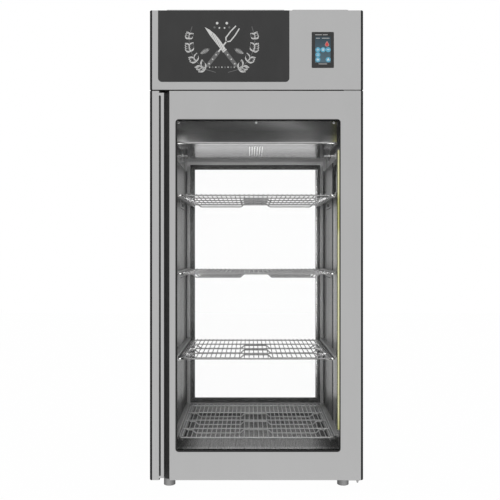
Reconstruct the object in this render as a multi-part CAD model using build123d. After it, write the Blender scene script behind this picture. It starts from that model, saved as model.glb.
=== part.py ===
from build123d import *
import math
import os

# Upright glazed cabinet with its machine space on top. Millimetres, +Z up, front towards -Y,
# origin on the floor under the middle of the cabinet. Depths are measured back from the door's face.

# Whole cabinet
cabinet_width = 900
cabinet_depth = 850
door_bottom = 52
door_top = 1696
door_thickness = 62
gasket_space = 12
overrun = 5

# Insulated body
wall_thickness = 75
base_thickness = 96.6
ceiling_thickness = 71.6
rear_wall_thickness = 90
skin_sheet = 1.5
mouth_frame_thickness = 3
mouth_frame_lip = 3
floor_sheet = 1.5
floor_rim_height = 12
liner_clearance = 0.5

# Hinge
hinge_gap = 0.6
hinge_plate_thickness = 4
hinge_axis_inset = 19
hinge_axis_depth = 31
hinge_plate_inner_reach = 81
hinge_plate_side_margin = 9
hinge_plate_front_depth = 10
hinge_plate_back_depth = 148
hinge_tongue_width = 22
hinge_pin_diameter = 10
hinge_pin_length = 26
hinge_pin_fit = 0.05
hinge_cone_top_diameter = 15
hinge_cone_bottom_diameter = 6
hinge_cone_height = 16
bush_width = 16
bush_length = 30
bush_seat_clearance = 0.05

# Rack panels on the side walls
rack_stand_off = 8
rack_sheet = 1.2
rack_front_gap = 1
rack_back_clearance = 2
rack_top_gap = 47.8
rack_bottom_clearance = 1
slot_width = 6
slot_height = 22
slot_drop = 1
front_hook_depth = 180
rear_hook_gap = 235

# Shelves, numbered from the top, as shares of the height from the floor sheet to the top of the racks
shelf_height_shares = [0.8614, 0.5966, 0.3091, 0.0422]
shelf_side_gap = 29
shelf_front_gap = 7
shelf_back_gap = 28
shelf_corner_cut = 7
rim_wire = 7
cross_wire = 6
depth_wire = 4
stiffener_wire = 6
wire_gap = 0.05
wire_sides = 4
rim_chamfer_share = 0.29
depth_wire_count = 32
depth_wire_margin = 12.5
cross_rail_count = 5
stiffener_dip = 15
stiffener_inner_flat = 56
stiffener_inner_dip = 72
stiffener_outer_margin = 46
stiffener_slope = 16
stiffener_end_clearance = 3

# Runners
runner_sheet = 1.5
runner_side_clearance = 1.5
runner_ledge_reach = 21
runner_ledge_lip = 9
runner_guide_height = 8
shelf_rest_gap = 0.3
runner_back_clearance = 3
tab_width = 22
tab_drop = 28
hook_clearance = 0.5
hook_height = 16
hook_reach = 5
runner_stop_width = 12
runner_stop_height = 6

# Rear window
rear_window_side = 27
rear_window_sill = 62
rear_window_head = 146
rear_glass_inset = 1
rear_pane_thickness = 4
rear_pane_space = 16
rear_pane_clearance = 0.5
rear_spacer_width = 27
rear_trim_sheet = 1.5
rear_trim_overlap = 13
rear_trim_lip = 3
rear_frame_width = 6

# Evaporator housing
cover_side_gap = 13
cover_front_depth = 115
cover_back_gap = 160
cover_height = 135.2
cover_sheet = 1.2
cover_flange = 16
rib_count = 6
rib_pitch = 11.7
rib_width = 5
rib_height = 3
rib_front_depth = 179
rib_back_gap = 94
fan_plate_depth = 200
fan_plate_sheet = 1.5
fan_plate_clearance = 0.3
evaporator_fan_x = 160
evaporator_fan_rim = 8.7
fan_tip_clearance = 4
fan_hub_diameter = 38
fan_hub_length = 16
fan_hub_sides = 12
fan_shaft_diameter = 6
fan_shaft_fit = 0.05
fan_cup_length = 14
fan_cup_step = 2
fan_blade_root = 1
fan_end_gap = 0.4
fan_arm_count = 4
fan_arm_width = 7
fan_arm_thickness = 3
fan_blade_count = 5
fan_blade_chord = 30
fan_blade_thickness = 1.8
fan_blade_pitch = 32
coil_side_gap = 64
coil_front_depth = 300
coil_thickness = 150
coil_top_gap = 16
coil_foot = 6
coil_end_plate = 2
coil_groove_count = 11
coil_groove_width = 9
coil_groove_reach = 14
coil_tube_diameter = 10
tube_sides = 6
bend_cut_share = 0.59
coil_tube_rows = 2
coil_tube_spacing = 50
bracket_depth = 340
bracket_width = 40
bracket_reach = 53
bracket_sheet = 3
bracket_drop = 25.3
bracket_leg_height = 22
bracket_bolt_diameter = 8
bracket_bolt_inset = 30
bracket_nut_diameter = 14
bracket_nut_height = 7
bracket_bolt_tail = 20
bolt_sides = 6

# Light strips
light_sill = 94
light_head = 166
channel_sheet = 2
channel_front_depth = 80
channel_depth = 20
channel_reach = 27.4
diffuser_reach = 20.6
diffuser_front_depth = 84
diffuser_radius = 4

# Door
edge_width = 9
edge_corner_radius = 6
edge_front_chamfer = 1.5
door_sheet = 1.2
inner_frame_thickness = 6
handle_plate = 3
handle_width = 50
handle_slot_start = 28.5
handle_slot_width = 8
handle_slot_end_bottom = 17.5
handle_slot_end_top = 19
handle_lip_depth = 14
handle_notch_bottom = 8.5
handle_notch_top = 8
grip_width = 23.5
trough_wall = 2
trough_depth = 38
trough_undercut = 21
window_stile_left = 24.9
window_stile_right = 94.7
window_sill = 119
window_head = 119.4
window_corner_radius = 14
glazing_rebate = 12
glazing_clearance = 0.3
pane_thickness = 4
pane_space = 16
door_pane_count = 2
spacer_setback = 2
trim_thickness = 1.8
trim_lip = 4.5
trim_lip_setback = 0.4
inner_opening_setback = 3
gasket_width = 24
gasket_inset = 54
gasket_seal_gap = 0.3
gasket_dart_width = 4
gasket_dart_depth = 3.5
gasket_dart_clearance = 0.1
gasket_sill = 67
gasket_head = 39

# Fascia and machine space
fascia_height = 335
fascia_sheet = 1.5
applied_plate = 1
decor_side_left = 34
decor_side_right = 311
decor_lift = 32.8
decor_corner_radius = 17
bezel_side = 217
bezel_width = 94
bezel_lift = 91.8
bezel_height = 152
bezel_corner_radius = 4
bezel_flange = 4
bezel_depth = 14
bezel_fit = 0.4
screen_margin_side = 14
screen_margin_bottom = 22
screen_margin_top = 19
screen_thickness = 1.2
screen_fit = 0.3
screen_setback = 0.4
casing_flange = 40
casing_rear_flange = 22
roof_drop = 5
roof_sheet = 1.5
roof_cover_height = 35
roof_cover_front_depth = 80
roof_cover_back_gap = 150
roof_cover_left_side = 59
roof_cover_left_reach = 326
roof_cover_gap = 30
roof_cover_right_side = 49
roof_cover_wall = 5
back_grille_columns = 3
back_grille_rows = 6
back_slot_width = 180
back_slot_height = 12
back_slot_pitch_x = 240
back_slot_pitch_z = 34
tray_sheet = 2
tray_side_gap = 38
tray_rim = 14
tray_front_depth = 90
tray_back_gap = 10
condenser_side_gap = 17
condenser_width = 330
condenser_depth = 125
condenser_thickness = 60
condenser_height = 270
condenser_lift = 2
condenser_groove_count = 10
condenser_groove_width = 8
condenser_groove_reach = 8
shroud_length = 46
shroud_wall = 2
condenser_fan_rim = 15
condenser_hub_diameter = 60
condenser_blade_chord = 40
compressor_depth = 470
compressor_radius = 92
compressor_height = 205
compressor_sides = 24
compressor_shoulder = 20
compressor_base_chamfer = 14
compressor_foot_width = 40
compressor_foot_thickness = 5
compressor_foot_reach = 112
box_side_gap = 12
box_width = 250
box_front_depth = 130
box_depth = 290
box_height = 235
box_chamfer = 6
drier_diameter = 32
drier_length = 110
drier_gap = 45
drier_height = 60
drier_sides = 12
pipe_diameter = 10
pipe_bend_cut = 24
drier_depth = 300

# Feet
foot_side = 71
foot_front_depth = 108
foot_back = 98
foot_diameter = 50
foot_cup_height = 32
foot_nut_width = 24
foot_edge_chamfer = 3
foot_cup_sides = 28
foot_stud_diameter = 12
foot_stud_fit = 0.05
foot_stud_reach = 26
foot_play = 0.4
foot_plate_side = 66
foot_plate_thickness = 4
stud_hole_side = 15
stud_hole_spare = 6

# Derived places
half_width = cabinet_width / 2
front_plane = -cabinet_depth / 2
body_depth = door_thickness + gasket_space
wall_front_depth = body_depth + mouth_frame_thickness
body_bottom = door_bottom - hinge_gap
body_top = door_top + hinge_gap
cavity_floor = body_bottom + base_thickness
cavity_ceiling = body_top - ceiling_thickness
inner_half_width = half_width - wall_thickness
rear_inner_depth = cabinet_depth - rear_wall_thickness
fascia_bottom = body_top + hinge_plate_thickness + hinge_gap
fascia_top = fascia_bottom + fascia_height
casing_top = fascia_top - roof_drop
hinge_x = half_width - hinge_axis_inset
rack_face = inner_half_width - rack_stand_off
sheet_left = -half_width + edge_width + handle_width + grip_width
core_front = door_sheet
core_back = door_thickness - inner_frame_thickness

cover_half_width = rack_face - cover_side_gap
cover_back_depth = rear_inner_depth - cover_back_gap
cover_bottom = cavity_ceiling - cover_height
rib_back_depth = cover_back_depth - rib_back_gap
coil_half_width = cover_half_width - coil_side_gap
coil_height = cover_height - cover_sheet - coil_foot - coil_top_gap
bracket_plate_bottom = cover_bottom - bracket_drop
evaporator_fan_hole = cover_height - cover_sheet - 2 * fan_plate_clearance - 2 * evaporator_fan_rim
evaporator_fan_diameter = evaporator_fan_hole - fan_tip_clearance

rack_front_depth = channel_front_depth + channel_depth + rack_front_gap
rack_top = cover_bottom - rack_top_gap
rear_hook_depth = rear_inner_depth - rear_hook_gap
shelf_heights = [cavity_floor + (rack_top - cavity_floor) * share for share in shelf_height_shares]
shelf_half_width = rack_face - shelf_side_gap
shelf_front_depth = rack_front_depth + shelf_front_gap
shelf_depth = rear_inner_depth - shelf_back_gap - shelf_front_depth
depth_wire_pitch = 2 * (shelf_half_width - depth_wire_margin) / (depth_wire_count - 1)
stiffener_outer_flat = shelf_half_width - stiffener_outer_margin
stiffener_outer_dip = stiffener_outer_flat - stiffener_slope
runner_guide = shelf_half_width + rim_wire / 2 + runner_side_clearance

rear_window_half_width = inner_half_width - rear_window_side
rear_window_bottom = cavity_floor + rear_window_sill
rear_window_top = cavity_ceiling - rear_window_head
light_bottom = cavity_floor + light_sill
light_top = cavity_ceiling - light_head

window_left = sheet_left + window_stile_left
window_right = half_width - window_stile_right
window_bottom = door_bottom + window_sill
window_top = door_top - window_head
gasket_bottom = door_bottom + gasket_sill
gasket_top = door_top - gasket_head

decor_left = -half_width + decor_side_left
decor_right = half_width - decor_side_right
decor_bottom = fascia_bottom + decor_lift
bezel_left = half_width - bezel_side
bezel_bottom = fascia_bottom + bezel_lift

roof_cover_back_depth = cabinet_depth - roof_cover_back_gap
roof_cover_split = half_width - roof_cover_left_reach
tray_half_width = half_width - tray_side_gap
tray_back_depth = cabinet_depth - tray_back_gap
condenser_left = -tray_half_width + condenser_side_gap
condenser_fan_hole = condenser_height - 2 * condenser_fan_rim
condenser_fan_diameter = condenser_fan_hole - fan_tip_clearance
box_left = tray_half_width - box_side_gap - box_width

foot_x = half_width - foot_side
foot_rear_depth = cabinet_depth - foot_back


def y_at(depth):
    return front_plane + depth


def block(x0, x1, depth0, depth1, z0, z1):
    body = Box(x1 - x0, depth1 - depth0, z1 - z0)
    return Pos((x0 + x1) / 2, y_at((depth0 + depth1) / 2), (z0 + z1) / 2) * body


def area(x0, x1, z0, z1, corner=0):
    if corner > 0:
        shape = RectangleRounded(x1 - x0, z1 - z0, corner)
    else:
        shape = Rectangle(x1 - x0, z1 - z0)
    return Pos((x0 + x1) / 2, (z0 + z1) / 2) * shape


# A front view outline given thickness from one depth to another
def slab(outline, depth0, depth1):
    plane = Plane(origin=(0, y_at(depth1), 0), x_dir=(1, 0, 0), z_dir=(0, -1, 0))
    return extrude(plane * outline, amount=depth1 - depth0)


# A plan view outline of x and depth given height
def prism(points, z0, z1):
    corners = [(x, y_at(depth)) for x, depth in points]
    face = make_face(Polyline(*corners, close=True))
    return extrude(Pos(0, 0, z0) * face, amount=z1 - z0)


# A front view outline of x and z, run from one depth to another
def run_back(points, depth0, depth1):
    return slab(make_face(Polyline(*points, close=True)), depth0, depth1)


# Round bar about its own middle, or a many-sided one where a number of sides is given
def bar(length, diameter, sides=0):
    if sides > 0:
        return Pos(0, 0, -length / 2) * extrude(RegularPolygon(diameter / 2, sides), amount=length)
    return Cylinder(diameter / 2, length)


def upright(x, depth, z0, z1, diameter, sides=0):
    return Pos(x, y_at(depth), (z0 + z1) / 2) * bar(z1 - z0, diameter, sides)


def along_y(x, z, depth0, depth1, diameter, sides=0):
    rod = Rot(90, 0, 0) * bar(depth1 - depth0, diameter, sides)
    return Pos(x, y_at((depth0 + depth1) / 2), z) * rod


def opposite(shape):
    return mirror(shape, about=Plane.YZ)


def pair(shape):
    return [shape, opposite(shape)]


parts = {}


def keep(name, *solids):
    found = []
    for shape in solids:
        found += shape.solids()
    parts[name] = Compound(children=found) if len(found) > 1 else found[0]


# Insulated body

def base_panel():
    panel = block(-half_width + skin_sheet, half_width - skin_sheet, wall_front_depth, cabinet_depth,
                  body_bottom, cavity_floor)
    for x in (-foot_x, foot_x):
        for depth in (foot_front_depth, foot_rear_depth):
            half = stud_hole_side / 2
            hole_top = body_bottom + foot_stud_reach + stud_hole_spare
            panel -= block(x - half, x + half, depth - half, depth + half, body_bottom - overrun, hole_top)
    return panel


def ceiling_panel():
    return block(-half_width + skin_sheet, half_width - skin_sheet, wall_front_depth, cabinet_depth,
                 cavity_ceiling, body_top)


def side_wall():
    return block(inner_half_width, half_width - skin_sheet, wall_front_depth, cabinet_depth,
                 cavity_floor, cavity_ceiling)


def rear_wall():
    outline = area(-inner_half_width, inner_half_width, cavity_floor, cavity_ceiling)
    outline -= area(-rear_window_half_width, rear_window_half_width, rear_window_bottom, rear_window_top)
    return slab(outline, rear_inner_depth, cabinet_depth)


def mouth_frame():
    inner = inner_half_width - mouth_frame_lip
    outline = area(-half_width + skin_sheet, half_width - skin_sheet, body_bottom, body_top)
    outline -= area(-inner, inner, cavity_floor + mouth_frame_lip, cavity_ceiling - mouth_frame_lip)
    return slab(outline, body_depth, wall_front_depth)


# Outer side sheet with the folds that carry the fascia, the back grille and the roof
def side_skin():
    sheet = block(half_width - skin_sheet, half_width, body_depth, cabinet_depth, body_bottom, casing_top)
    front_fold = block(half_width - casing_flange, half_width, body_depth, body_depth + skin_sheet,
                       fascia_bottom, casing_top)
    rear_fold = block(half_width - casing_rear_flange, half_width, cabinet_depth - skin_sheet, cabinet_depth,
                      body_top, casing_top)
    top_fold = block(half_width - casing_rear_flange, half_width, body_depth, cabinet_depth,
                     casing_top - skin_sheet, casing_top)
    return sheet + front_fold + rear_fold + top_fold


def floor_tray():
    half = inner_half_width - liner_clearance
    back = rear_inner_depth - liner_clearance
    tray = block(-half, half, wall_front_depth, back, cavity_floor, cavity_floor + floor_rim_height)
    tray -= block(-half + floor_sheet, half - floor_sheet, wall_front_depth - overrun, back - floor_sheet,
                  cavity_floor + floor_sheet, cavity_floor + floor_rim_height + overrun)
    return tray


# Middle of each slot row: one at every shelf and one half way between neighbours
def slot_levels():
    levels = list(shelf_heights)
    for upper, lower in zip(shelf_heights, shelf_heights[1:]):
        levels.append((upper + lower) / 2)
    return levels


def rack_panel():
    bottom = cavity_floor + floor_rim_height + rack_bottom_clearance
    back = rear_inner_depth - rack_back_clearance
    panel = block(rack_face, inner_half_width, rack_front_depth, back, bottom, rack_top)
    panel -= block(rack_face + rack_sheet, inner_half_width + overrun, rack_front_depth + rack_sheet,
                   back - rack_sheet, bottom + rack_sheet, rack_top - rack_sheet)
    for level in slot_levels():
        top = level - slot_drop
        for depth in (front_hook_depth, rear_hook_depth):
            panel -= block(rack_face - overrun, rack_face + rack_sheet + overrun / 2, depth - slot_width / 2,
                           depth + slot_width / 2, top - slot_height, top)
    return panel


keep("base", base_panel())
keep("ceiling", ceiling_panel())
keep("side_wall_right", side_wall())
keep("side_wall_left", opposite(side_wall()))
keep("rear_wall", rear_wall())
keep("mouth_frame", mouth_frame())
keep("side_skins", *pair(side_skin()))
keep("floor_tray", floor_tray())
keep("rack_panels", *pair(rack_panel()))


# Rear window

def rear_ring(outward, inward, depth0, depth1):
    x = rear_window_half_width
    ring = area(-x - outward, x + outward, rear_window_bottom - outward, rear_window_top + outward)
    ring -= area(-x + inward, x - inward, rear_window_bottom + inward, rear_window_top - inward)
    return slab(ring, depth0, depth1)


def rear_pane(depth):
    x = rear_window_half_width - rear_pane_clearance
    outline = area(-x, x, rear_window_bottom + rear_pane_clearance, rear_window_top - rear_pane_clearance)
    return slab(outline, depth, depth + rear_pane_thickness)


rear_pane_1 = rear_inner_depth + rear_glass_inset
rear_space_start = rear_pane_1 + rear_pane_thickness
rear_pane_2 = rear_space_start + rear_pane_space
rear_frame_start = rear_pane_2 + rear_pane_thickness

keep("rear_panes", rear_pane(rear_pane_1), rear_pane(rear_pane_2))
keep("rear_glazing_bars",
     rear_ring(-rear_pane_clearance, rear_spacer_width, rear_space_start, rear_pane_2),
     rear_ring(0, rear_frame_width, rear_frame_start, cabinet_depth))
keep("rear_trim", rear_ring(rear_trim_overlap, rear_trim_lip, rear_inner_depth - rear_trim_sheet,
                            rear_inner_depth))


# Evaporator housing

# Folded cover open to the back, with a row of pressed ribs under its middle
def evaporator_cover():
    half = cover_half_width
    cover = block(-half, half, cover_front_depth, cover_back_depth, cover_bottom, cavity_ceiling)
    cover -= block(-half + cover_sheet, half - cover_sheet, cover_front_depth + cover_sheet,
                   cover_back_depth + overrun, cover_bottom + cover_sheet, cavity_ceiling + overrun)
    cover += block(-half, half, cover_front_depth, cover_front_depth + cover_flange,
                   cavity_ceiling - cover_sheet, cavity_ceiling)
    for n in range(rib_count):
        x = (n - (rib_count - 1) / 2) * rib_pitch
        rib = block(x - rib_width / 2, x + rib_width / 2, rib_front_depth, rib_back_depth,
                    cover_bottom - rib_height, cover_bottom + cover_sheet / 2)
        rib = chamfer(rib.faces().sort_by(Axis.Z)[0].edges(), rib_width / 4)
        cover += rib
    return cover


fan_axis_height = (cover_bottom + cover_sheet + cavity_ceiling) / 2


# Motor cup with its fixed shaft, held by arms across a round opening
def motor_spider(x, z, depth, hole, hub, hub_length):
    cup_back = depth - hub_length / 2 - fan_end_gap
    cup = along_y(x, z, cup_back - fan_cup_length, cup_back, hub - 2 * fan_cup_step, fan_hub_sides)
    cup += along_y(x, z, cup_back - fan_cup_length / 2, depth + hub_length / 2, fan_shaft_diameter)
    for n in range(fan_arm_count):
        angle = math.radians(360 * (n + 0.5) / fan_arm_count)
        length = hole / 2 + fan_arm_width
        arm = Box(length, fan_arm_thickness, fan_arm_width)
        arm = Pos(length / 2, 0, 0) * arm
        arm = Rot(0, -math.degrees(angle), 0) * arm
        cup += Pos(x, y_at(cup_back - fan_cup_length + fan_arm_thickness / 2), z) * arm
    return cup


# Hub and pitched blades on a plain bore
def fan_rotor(x, z, depth, diameter, hub, hub_length, chord):
    rotor = Rot(90, 0, 0) * bar(hub_length, hub, fan_hub_sides)
    half_span = chord * math.cos(math.radians(fan_blade_pitch)) / 2
    tip = math.sqrt((diameter / 2) ** 2 - half_span ** 2)
    root = hub / 2 - fan_blade_root
    for n in range(fan_blade_count):
        blade = Rot(fan_blade_pitch, 0, 0) * Box(tip - root, fan_blade_thickness, chord)
        rotor += Rot(0, 360 * n / fan_blade_count, 0) * Pos((tip + root) / 2, 0, 0) * blade
    bore = Rot(90, 0, 0) * bar(chord + overrun, fan_shaft_diameter + 2 * fan_shaft_fit)
    return Pos(x, y_at(depth), z) * (rotor - bore)


def fan_plate():
    half = cover_half_width - cover_sheet - fan_plate_clearance
    bottom = cover_bottom + cover_sheet + fan_plate_clearance
    hole = evaporator_fan_hole
    back = fan_plate_depth + fan_plate_sheet
    plate = block(-half, half, fan_plate_depth, back, bottom, cavity_ceiling - fan_plate_clearance)
    for x in (-evaporator_fan_x, evaporator_fan_x):
        plate -= along_y(x, fan_axis_height, fan_plate_depth - overrun, back + overrun, hole)
        plate += motor_spider(x, fan_axis_height, evaporator_fan_depth, hole, fan_hub_diameter,
                              fan_hub_length)
    return plate


# The arms of the spider lie in the plane of the plate that they grow from
evaporator_fan_depth = fan_plate_depth + fan_cup_length + fan_end_gap + fan_hub_length / 2


def finned_block(x0, x1, depth0, depth1, z0, z1, grooves, groove_width, groove_reach):
    core = block(x0, x1, depth0, depth1, z0, z1)
    pitch = (x1 - x0) / (grooves + 1)
    for n in range(grooves):
        x = x0 + pitch * (n + 1)
        core -= block(x - groove_width / 2, x + groove_width / 2, depth0 - overrun, depth0 + groove_reach,
                      z0 - overrun, z1 + overrun)
    return core


# Half a turn of tube that leaves the end plate and comes back to it lower down
def return_bend(x, depth, z0, z1, side):
    reach = (z1 - z0) / 2
    cut = reach * bend_cut_share
    turns = [(0, z1), (reach - cut, z1), (reach, z1 - cut), (reach, z0 + cut), (reach - cut, z0), (0, z0)]
    path = Polyline(*[(x + side * out, y_at(depth), z) for out, z in turns])
    start = Plane(origin=(x, y_at(depth), z1), x_dir=(0, 1, 0), z_dir=(side, 0, 0))
    return sweep(start * RegularPolygon(coil_tube_diameter / 2, tube_sides), path=path,
                 transition=Transition.RIGHT)


def evaporator_coil():
    bottom = cover_bottom + cover_sheet
    back = coil_front_depth + coil_thickness
    coil = finned_block(-coil_half_width, coil_half_width, coil_front_depth, back, bottom + coil_foot,
                        bottom + coil_foot + coil_height, coil_groove_count, coil_groove_width,
                        coil_groove_reach)
    for side in (-1, 1):
        x = side * (coil_half_width + coil_end_plate / 2)
        coil += block(x - coil_end_plate / 2, x + coil_end_plate / 2, coil_front_depth, back, bottom,
                      bottom + coil_foot + coil_height)
        for n in range(coil_tube_rows):
            depth = coil_front_depth + coil_thickness * (n + 0.5) / coil_tube_rows
            middle = bottom + coil_foot + coil_height / 2
            coil += return_bend(side * (coil_half_width + coil_end_plate), depth,
                                middle - coil_tube_spacing / 2, middle + coil_tube_spacing / 2, side)
    return coil


def cover_bracket():
    wall = inner_half_width
    plate_top = bracket_plate_bottom + bracket_sheet
    depth0 = bracket_depth - bracket_width / 2
    depth1 = bracket_depth + bracket_width / 2
    bracket = block(wall - bracket_reach, wall, depth0, depth1, bracket_plate_bottom, plate_top)
    bracket += block(wall - bracket_sheet, wall, depth0, depth1, bracket_plate_bottom,
                     bracket_plate_bottom + bracket_leg_height)
    x = wall - bracket_bolt_inset
    bracket += upright(x, bracket_depth, bracket_plate_bottom - bracket_bolt_tail, cover_bottom,
                       bracket_bolt_diameter, bolt_sides)
    bracket += upright(x, bracket_depth, bracket_plate_bottom - bracket_nut_height, bracket_plate_bottom,
                       bracket_nut_diameter, bolt_sides)
    return bracket


keep("evaporator_cover", evaporator_cover())
keep("fan_plate", fan_plate())
for side, x in (("left", -evaporator_fan_x), ("right", evaporator_fan_x)):
    keep(f"evaporator_fan_{side}", fan_rotor(x, fan_axis_height, evaporator_fan_depth,
                                             evaporator_fan_diameter, fan_hub_diameter, fan_hub_length,
                                             fan_blade_chord))
keep("evaporator_coil", evaporator_coil())
keep("cover_brackets", *pair(cover_bracket()))


# Light strips behind the mouth on both side walls

def light_channel():
    wall = inner_half_width
    back = channel_front_depth + channel_depth
    channel = block(wall - channel_sheet, wall, channel_front_depth, back, light_bottom, light_top)
    channel += block(wall - channel_reach, wall, back - channel_sheet, back, light_bottom, light_top)
    return channel


def light_diffuser():
    wall = inner_half_width
    back = channel_front_depth + channel_depth - channel_sheet
    strip = block(wall - diffuser_reach, wall - channel_sheet, diffuser_front_depth, back,
                  light_bottom, light_top)
    front_edge = strip.edges().filter_by(Axis.Z).sort_by(Axis.Y)[:2].sort_by(Axis.X)[0]
    return fillet(front_edge, diffuser_radius)


keep("light_channels", *pair(light_channel()))
keep("light_diffusers", *pair(light_diffuser()))


# Shelves and runners

def wire(start, end, diameter):
    begin = Vector(*start)
    finish = Vector(*end)
    run = finish - begin
    across = (0, 0, 1) if abs(run.Z) < run.length / 2 else (1, 0, 0)
    plane = Plane(origin=begin, x_dir=across, z_dir=run)
    return extrude(plane * RegularPolygon(diameter / 2, wire_sides), amount=run.length)


def rim_outline(outward):
    outline = Rectangle(2 * (shelf_half_width + outward), shelf_depth + 2 * outward)
    return chamfer(outline.vertices(), shelf_corner_cut + outward / 2)


# Wire rim: a rectangle of wire with its corners and its edges taken off
def shelf_rim(height):
    middle = y_at(shelf_front_depth + shelf_depth / 2)
    ring = rim_outline(rim_wire / 2) - rim_outline(-rim_wire / 2)
    rim = extrude(Pos(0, middle, height - rim_wire / 2) * ring, amount=rim_wire)
    level_faces = rim.faces().filter_by(Axis.Z)
    return chamfer(level_faces.edges(), rim_wire * rim_chamfer_share)


# Stiffening wire that lies under a cross rail and dips twice
def stiffener(depth, height, half):
    level = height
    low = height - stiffener_dip
    turns = [(-half, level), (-stiffener_outer_flat, level), (-stiffener_outer_dip, low),
             (-stiffener_inner_dip, low), (-stiffener_inner_flat, level), (stiffener_inner_flat, level),
             (stiffener_inner_dip, low), (stiffener_outer_dip, low), (stiffener_outer_flat, level),
             (half, level)]
    path = Polyline(*[(x, y_at(depth), z) for x, z in turns])
    start = Plane(origin=(-half, y_at(depth), level), x_dir=(0, 0, 1), z_dir=(1, 0, 0))
    return sweep(start * RegularPolygon(stiffener_wire / 2, wire_sides), path=path,
                 transition=Transition.RIGHT)


def shelf(height):
    solids = [shelf_rim(height)]
    rail_half = shelf_half_width - rim_wire / 2 - wire_gap
    stiffener_half = runner_guide - runner_ledge_reach - stiffener_end_clearance
    rail_pitch = shelf_depth / (cross_rail_count - 1)
    under = height - cross_wire / 2 - stiffener_wire / 2 - wire_gap
    for n in range(1, cross_rail_count - 1):
        depth = shelf_front_depth + rail_pitch * n
        solids.append(wire((-rail_half, y_at(depth), height), (rail_half, y_at(depth), height), cross_wire))
        solids.append(stiffener(depth, under, stiffener_half))
    on_top = height + rim_wire / 2 + depth_wire / 2 + wire_gap
    front = shelf_front_depth - rim_wire / 2
    back = shelf_front_depth + shelf_depth + rim_wire / 2
    for n in range(depth_wire_count):
        x = (n - (depth_wire_count - 1) / 2) * depth_wire_pitch
        solids.append(wire((x, y_at(front), on_top), (x, y_at(back), on_top), depth_wire))
    return solids


# Folded runner: flange from the wall, guide down to a ledge, lip, and two hanging tabs with hooks
def runner(height):
    sheet = runner_sheet
    guide = runner_guide
    top = height + runner_guide_height
    ledge = height - rim_wire / 2 - shelf_rest_gap
    wall = rack_face
    inner = guide - runner_ledge_reach
    lip = ledge - runner_ledge_lip
    back = rear_inner_depth - rear_trim_sheet - runner_back_clearance
    section = [(wall, top), (guide, top), (guide, ledge), (inner, ledge), (inner, lip),
               (inner + sheet, lip), (inner + sheet, ledge - sheet), (guide + sheet, ledge - sheet),
               (guide + sheet, top - sheet), (wall, top - sheet)]
    body = run_back(section, rack_front_depth, back)
    for depth in (front_hook_depth, rear_hook_depth):
        body += block(wall - sheet, wall, depth - tab_width / 2, depth + tab_width / 2, top - tab_drop, top)
        hook_top = height - slot_drop - hook_clearance
        body += block(wall - sheet / 2, wall + hook_reach, depth - slot_width / 2 + hook_clearance,
                      depth + slot_width / 2 - hook_clearance, hook_top - hook_height, hook_top)
    body += block(guide, guide + runner_stop_width, rack_front_depth, rack_front_depth + sheet,
                  top - sheet, top + runner_stop_height)
    return body


for number, height in enumerate(shelf_heights, start=1):
    keep(f"shelf_{number}", *shelf(height))
    keep(f"runners_{number}", *pair(runner(height)))


# Hinge plates with their pins, under and over the door

def hinge_plate(z0, z1):
    inner = half_width - hinge_plate_inner_reach
    outer = half_width - hinge_plate_side_margin
    tongue_outer = half_width - skin_sheet - hinge_gap
    tongue_inner = tongue_outer - hinge_tongue_width
    outline = [(inner, hinge_plate_front_depth), (outer, hinge_plate_front_depth),
               (outer, body_depth - gasket_space / 2), (tongue_outer, body_depth),
               (tongue_outer, hinge_plate_back_depth), (tongue_inner, hinge_plate_back_depth),
               (tongue_inner, body_depth), (inner, door_thickness - hinge_gap)]
    return prism(outline, z0, z1)


def lower_hinge():
    top = door_bottom - hinge_gap
    bottom = top - hinge_plate_thickness
    plate = hinge_plate(bottom, top)
    plate += upright(hinge_x, hinge_axis_depth, bottom, door_bottom + hinge_pin_length, hinge_pin_diameter)
    cone = Cone(hinge_cone_bottom_diameter / 2, hinge_cone_top_diameter / 2, hinge_cone_height)
    return plate + Pos(hinge_x, y_at(hinge_axis_depth), bottom - hinge_cone_height / 2) * cone


def upper_hinge():
    bottom = door_top + hinge_gap
    plate = hinge_plate(bottom, bottom + hinge_plate_thickness)
    return plate + upright(hinge_x, hinge_axis_depth, door_top - hinge_pin_length,
                           bottom + hinge_plate_thickness, hinge_pin_diameter)


def bush_block(half, z0, z1):
    return block(hinge_x - half, hinge_x + half, hinge_axis_depth - half, hinge_axis_depth + half, z0, z1)


def hinge_bush(z0, z1):
    bush = bush_block(bush_width / 2, z0, z1)
    bore = hinge_pin_diameter + 2 * hinge_pin_fit
    return bush - upright(hinge_x, hinge_axis_depth, z0 - overrun, z1 + overrun, bore)


keep("hinge_plates", lower_hinge(), upper_hinge())
keep("hinge_bushes", hinge_bush(door_bottom, door_bottom + bush_length),
     hinge_bush(door_top - bush_length, door_top))


# Door

def window_area(grow, corner=0):
    return area(window_left - grow, window_right + grow, window_bottom - grow, window_top + grow, corner)


def bush_seats():
    half = bush_width / 2 + bush_seat_clearance
    lower = bush_block(half, door_bottom - overrun, door_bottom + bush_length)
    upper = bush_block(half, door_top - bush_length, door_top + overrun)
    return lower + upper


def door_skin():
    right = half_width - edge_width
    skin = slab(area(sheet_left, right, door_bottom, door_top), 0, core_back)
    skin -= block(sheet_left - overrun, right + overrun, door_sheet, core_back + overrun,
                  door_bottom + door_sheet, door_top - door_sheet)
    skin -= slab(window_area(0, window_corner_radius), -overrun, door_sheet + overrun)
    return skin - bush_seats()


def door_core():
    side = half_width - edge_width
    bottom = door_bottom + door_sheet
    top = door_top - door_sheet
    core = slab(area(-side, side, bottom, top), core_front, core_back)
    core -= slab(window_area(glazing_rebate), core_front - overrun, core_back + overrun)
    core -= block(-side - overrun, -side + handle_width, core_front - overrun, handle_plate,
                  bottom - overrun, top + overrun)
    core -= block(sheet_left - grip_width - trough_undercut, sheet_left, core_front - overrun, trough_depth,
                  bottom - overrun, top + overrun)
    return core - bush_seats()


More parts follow.
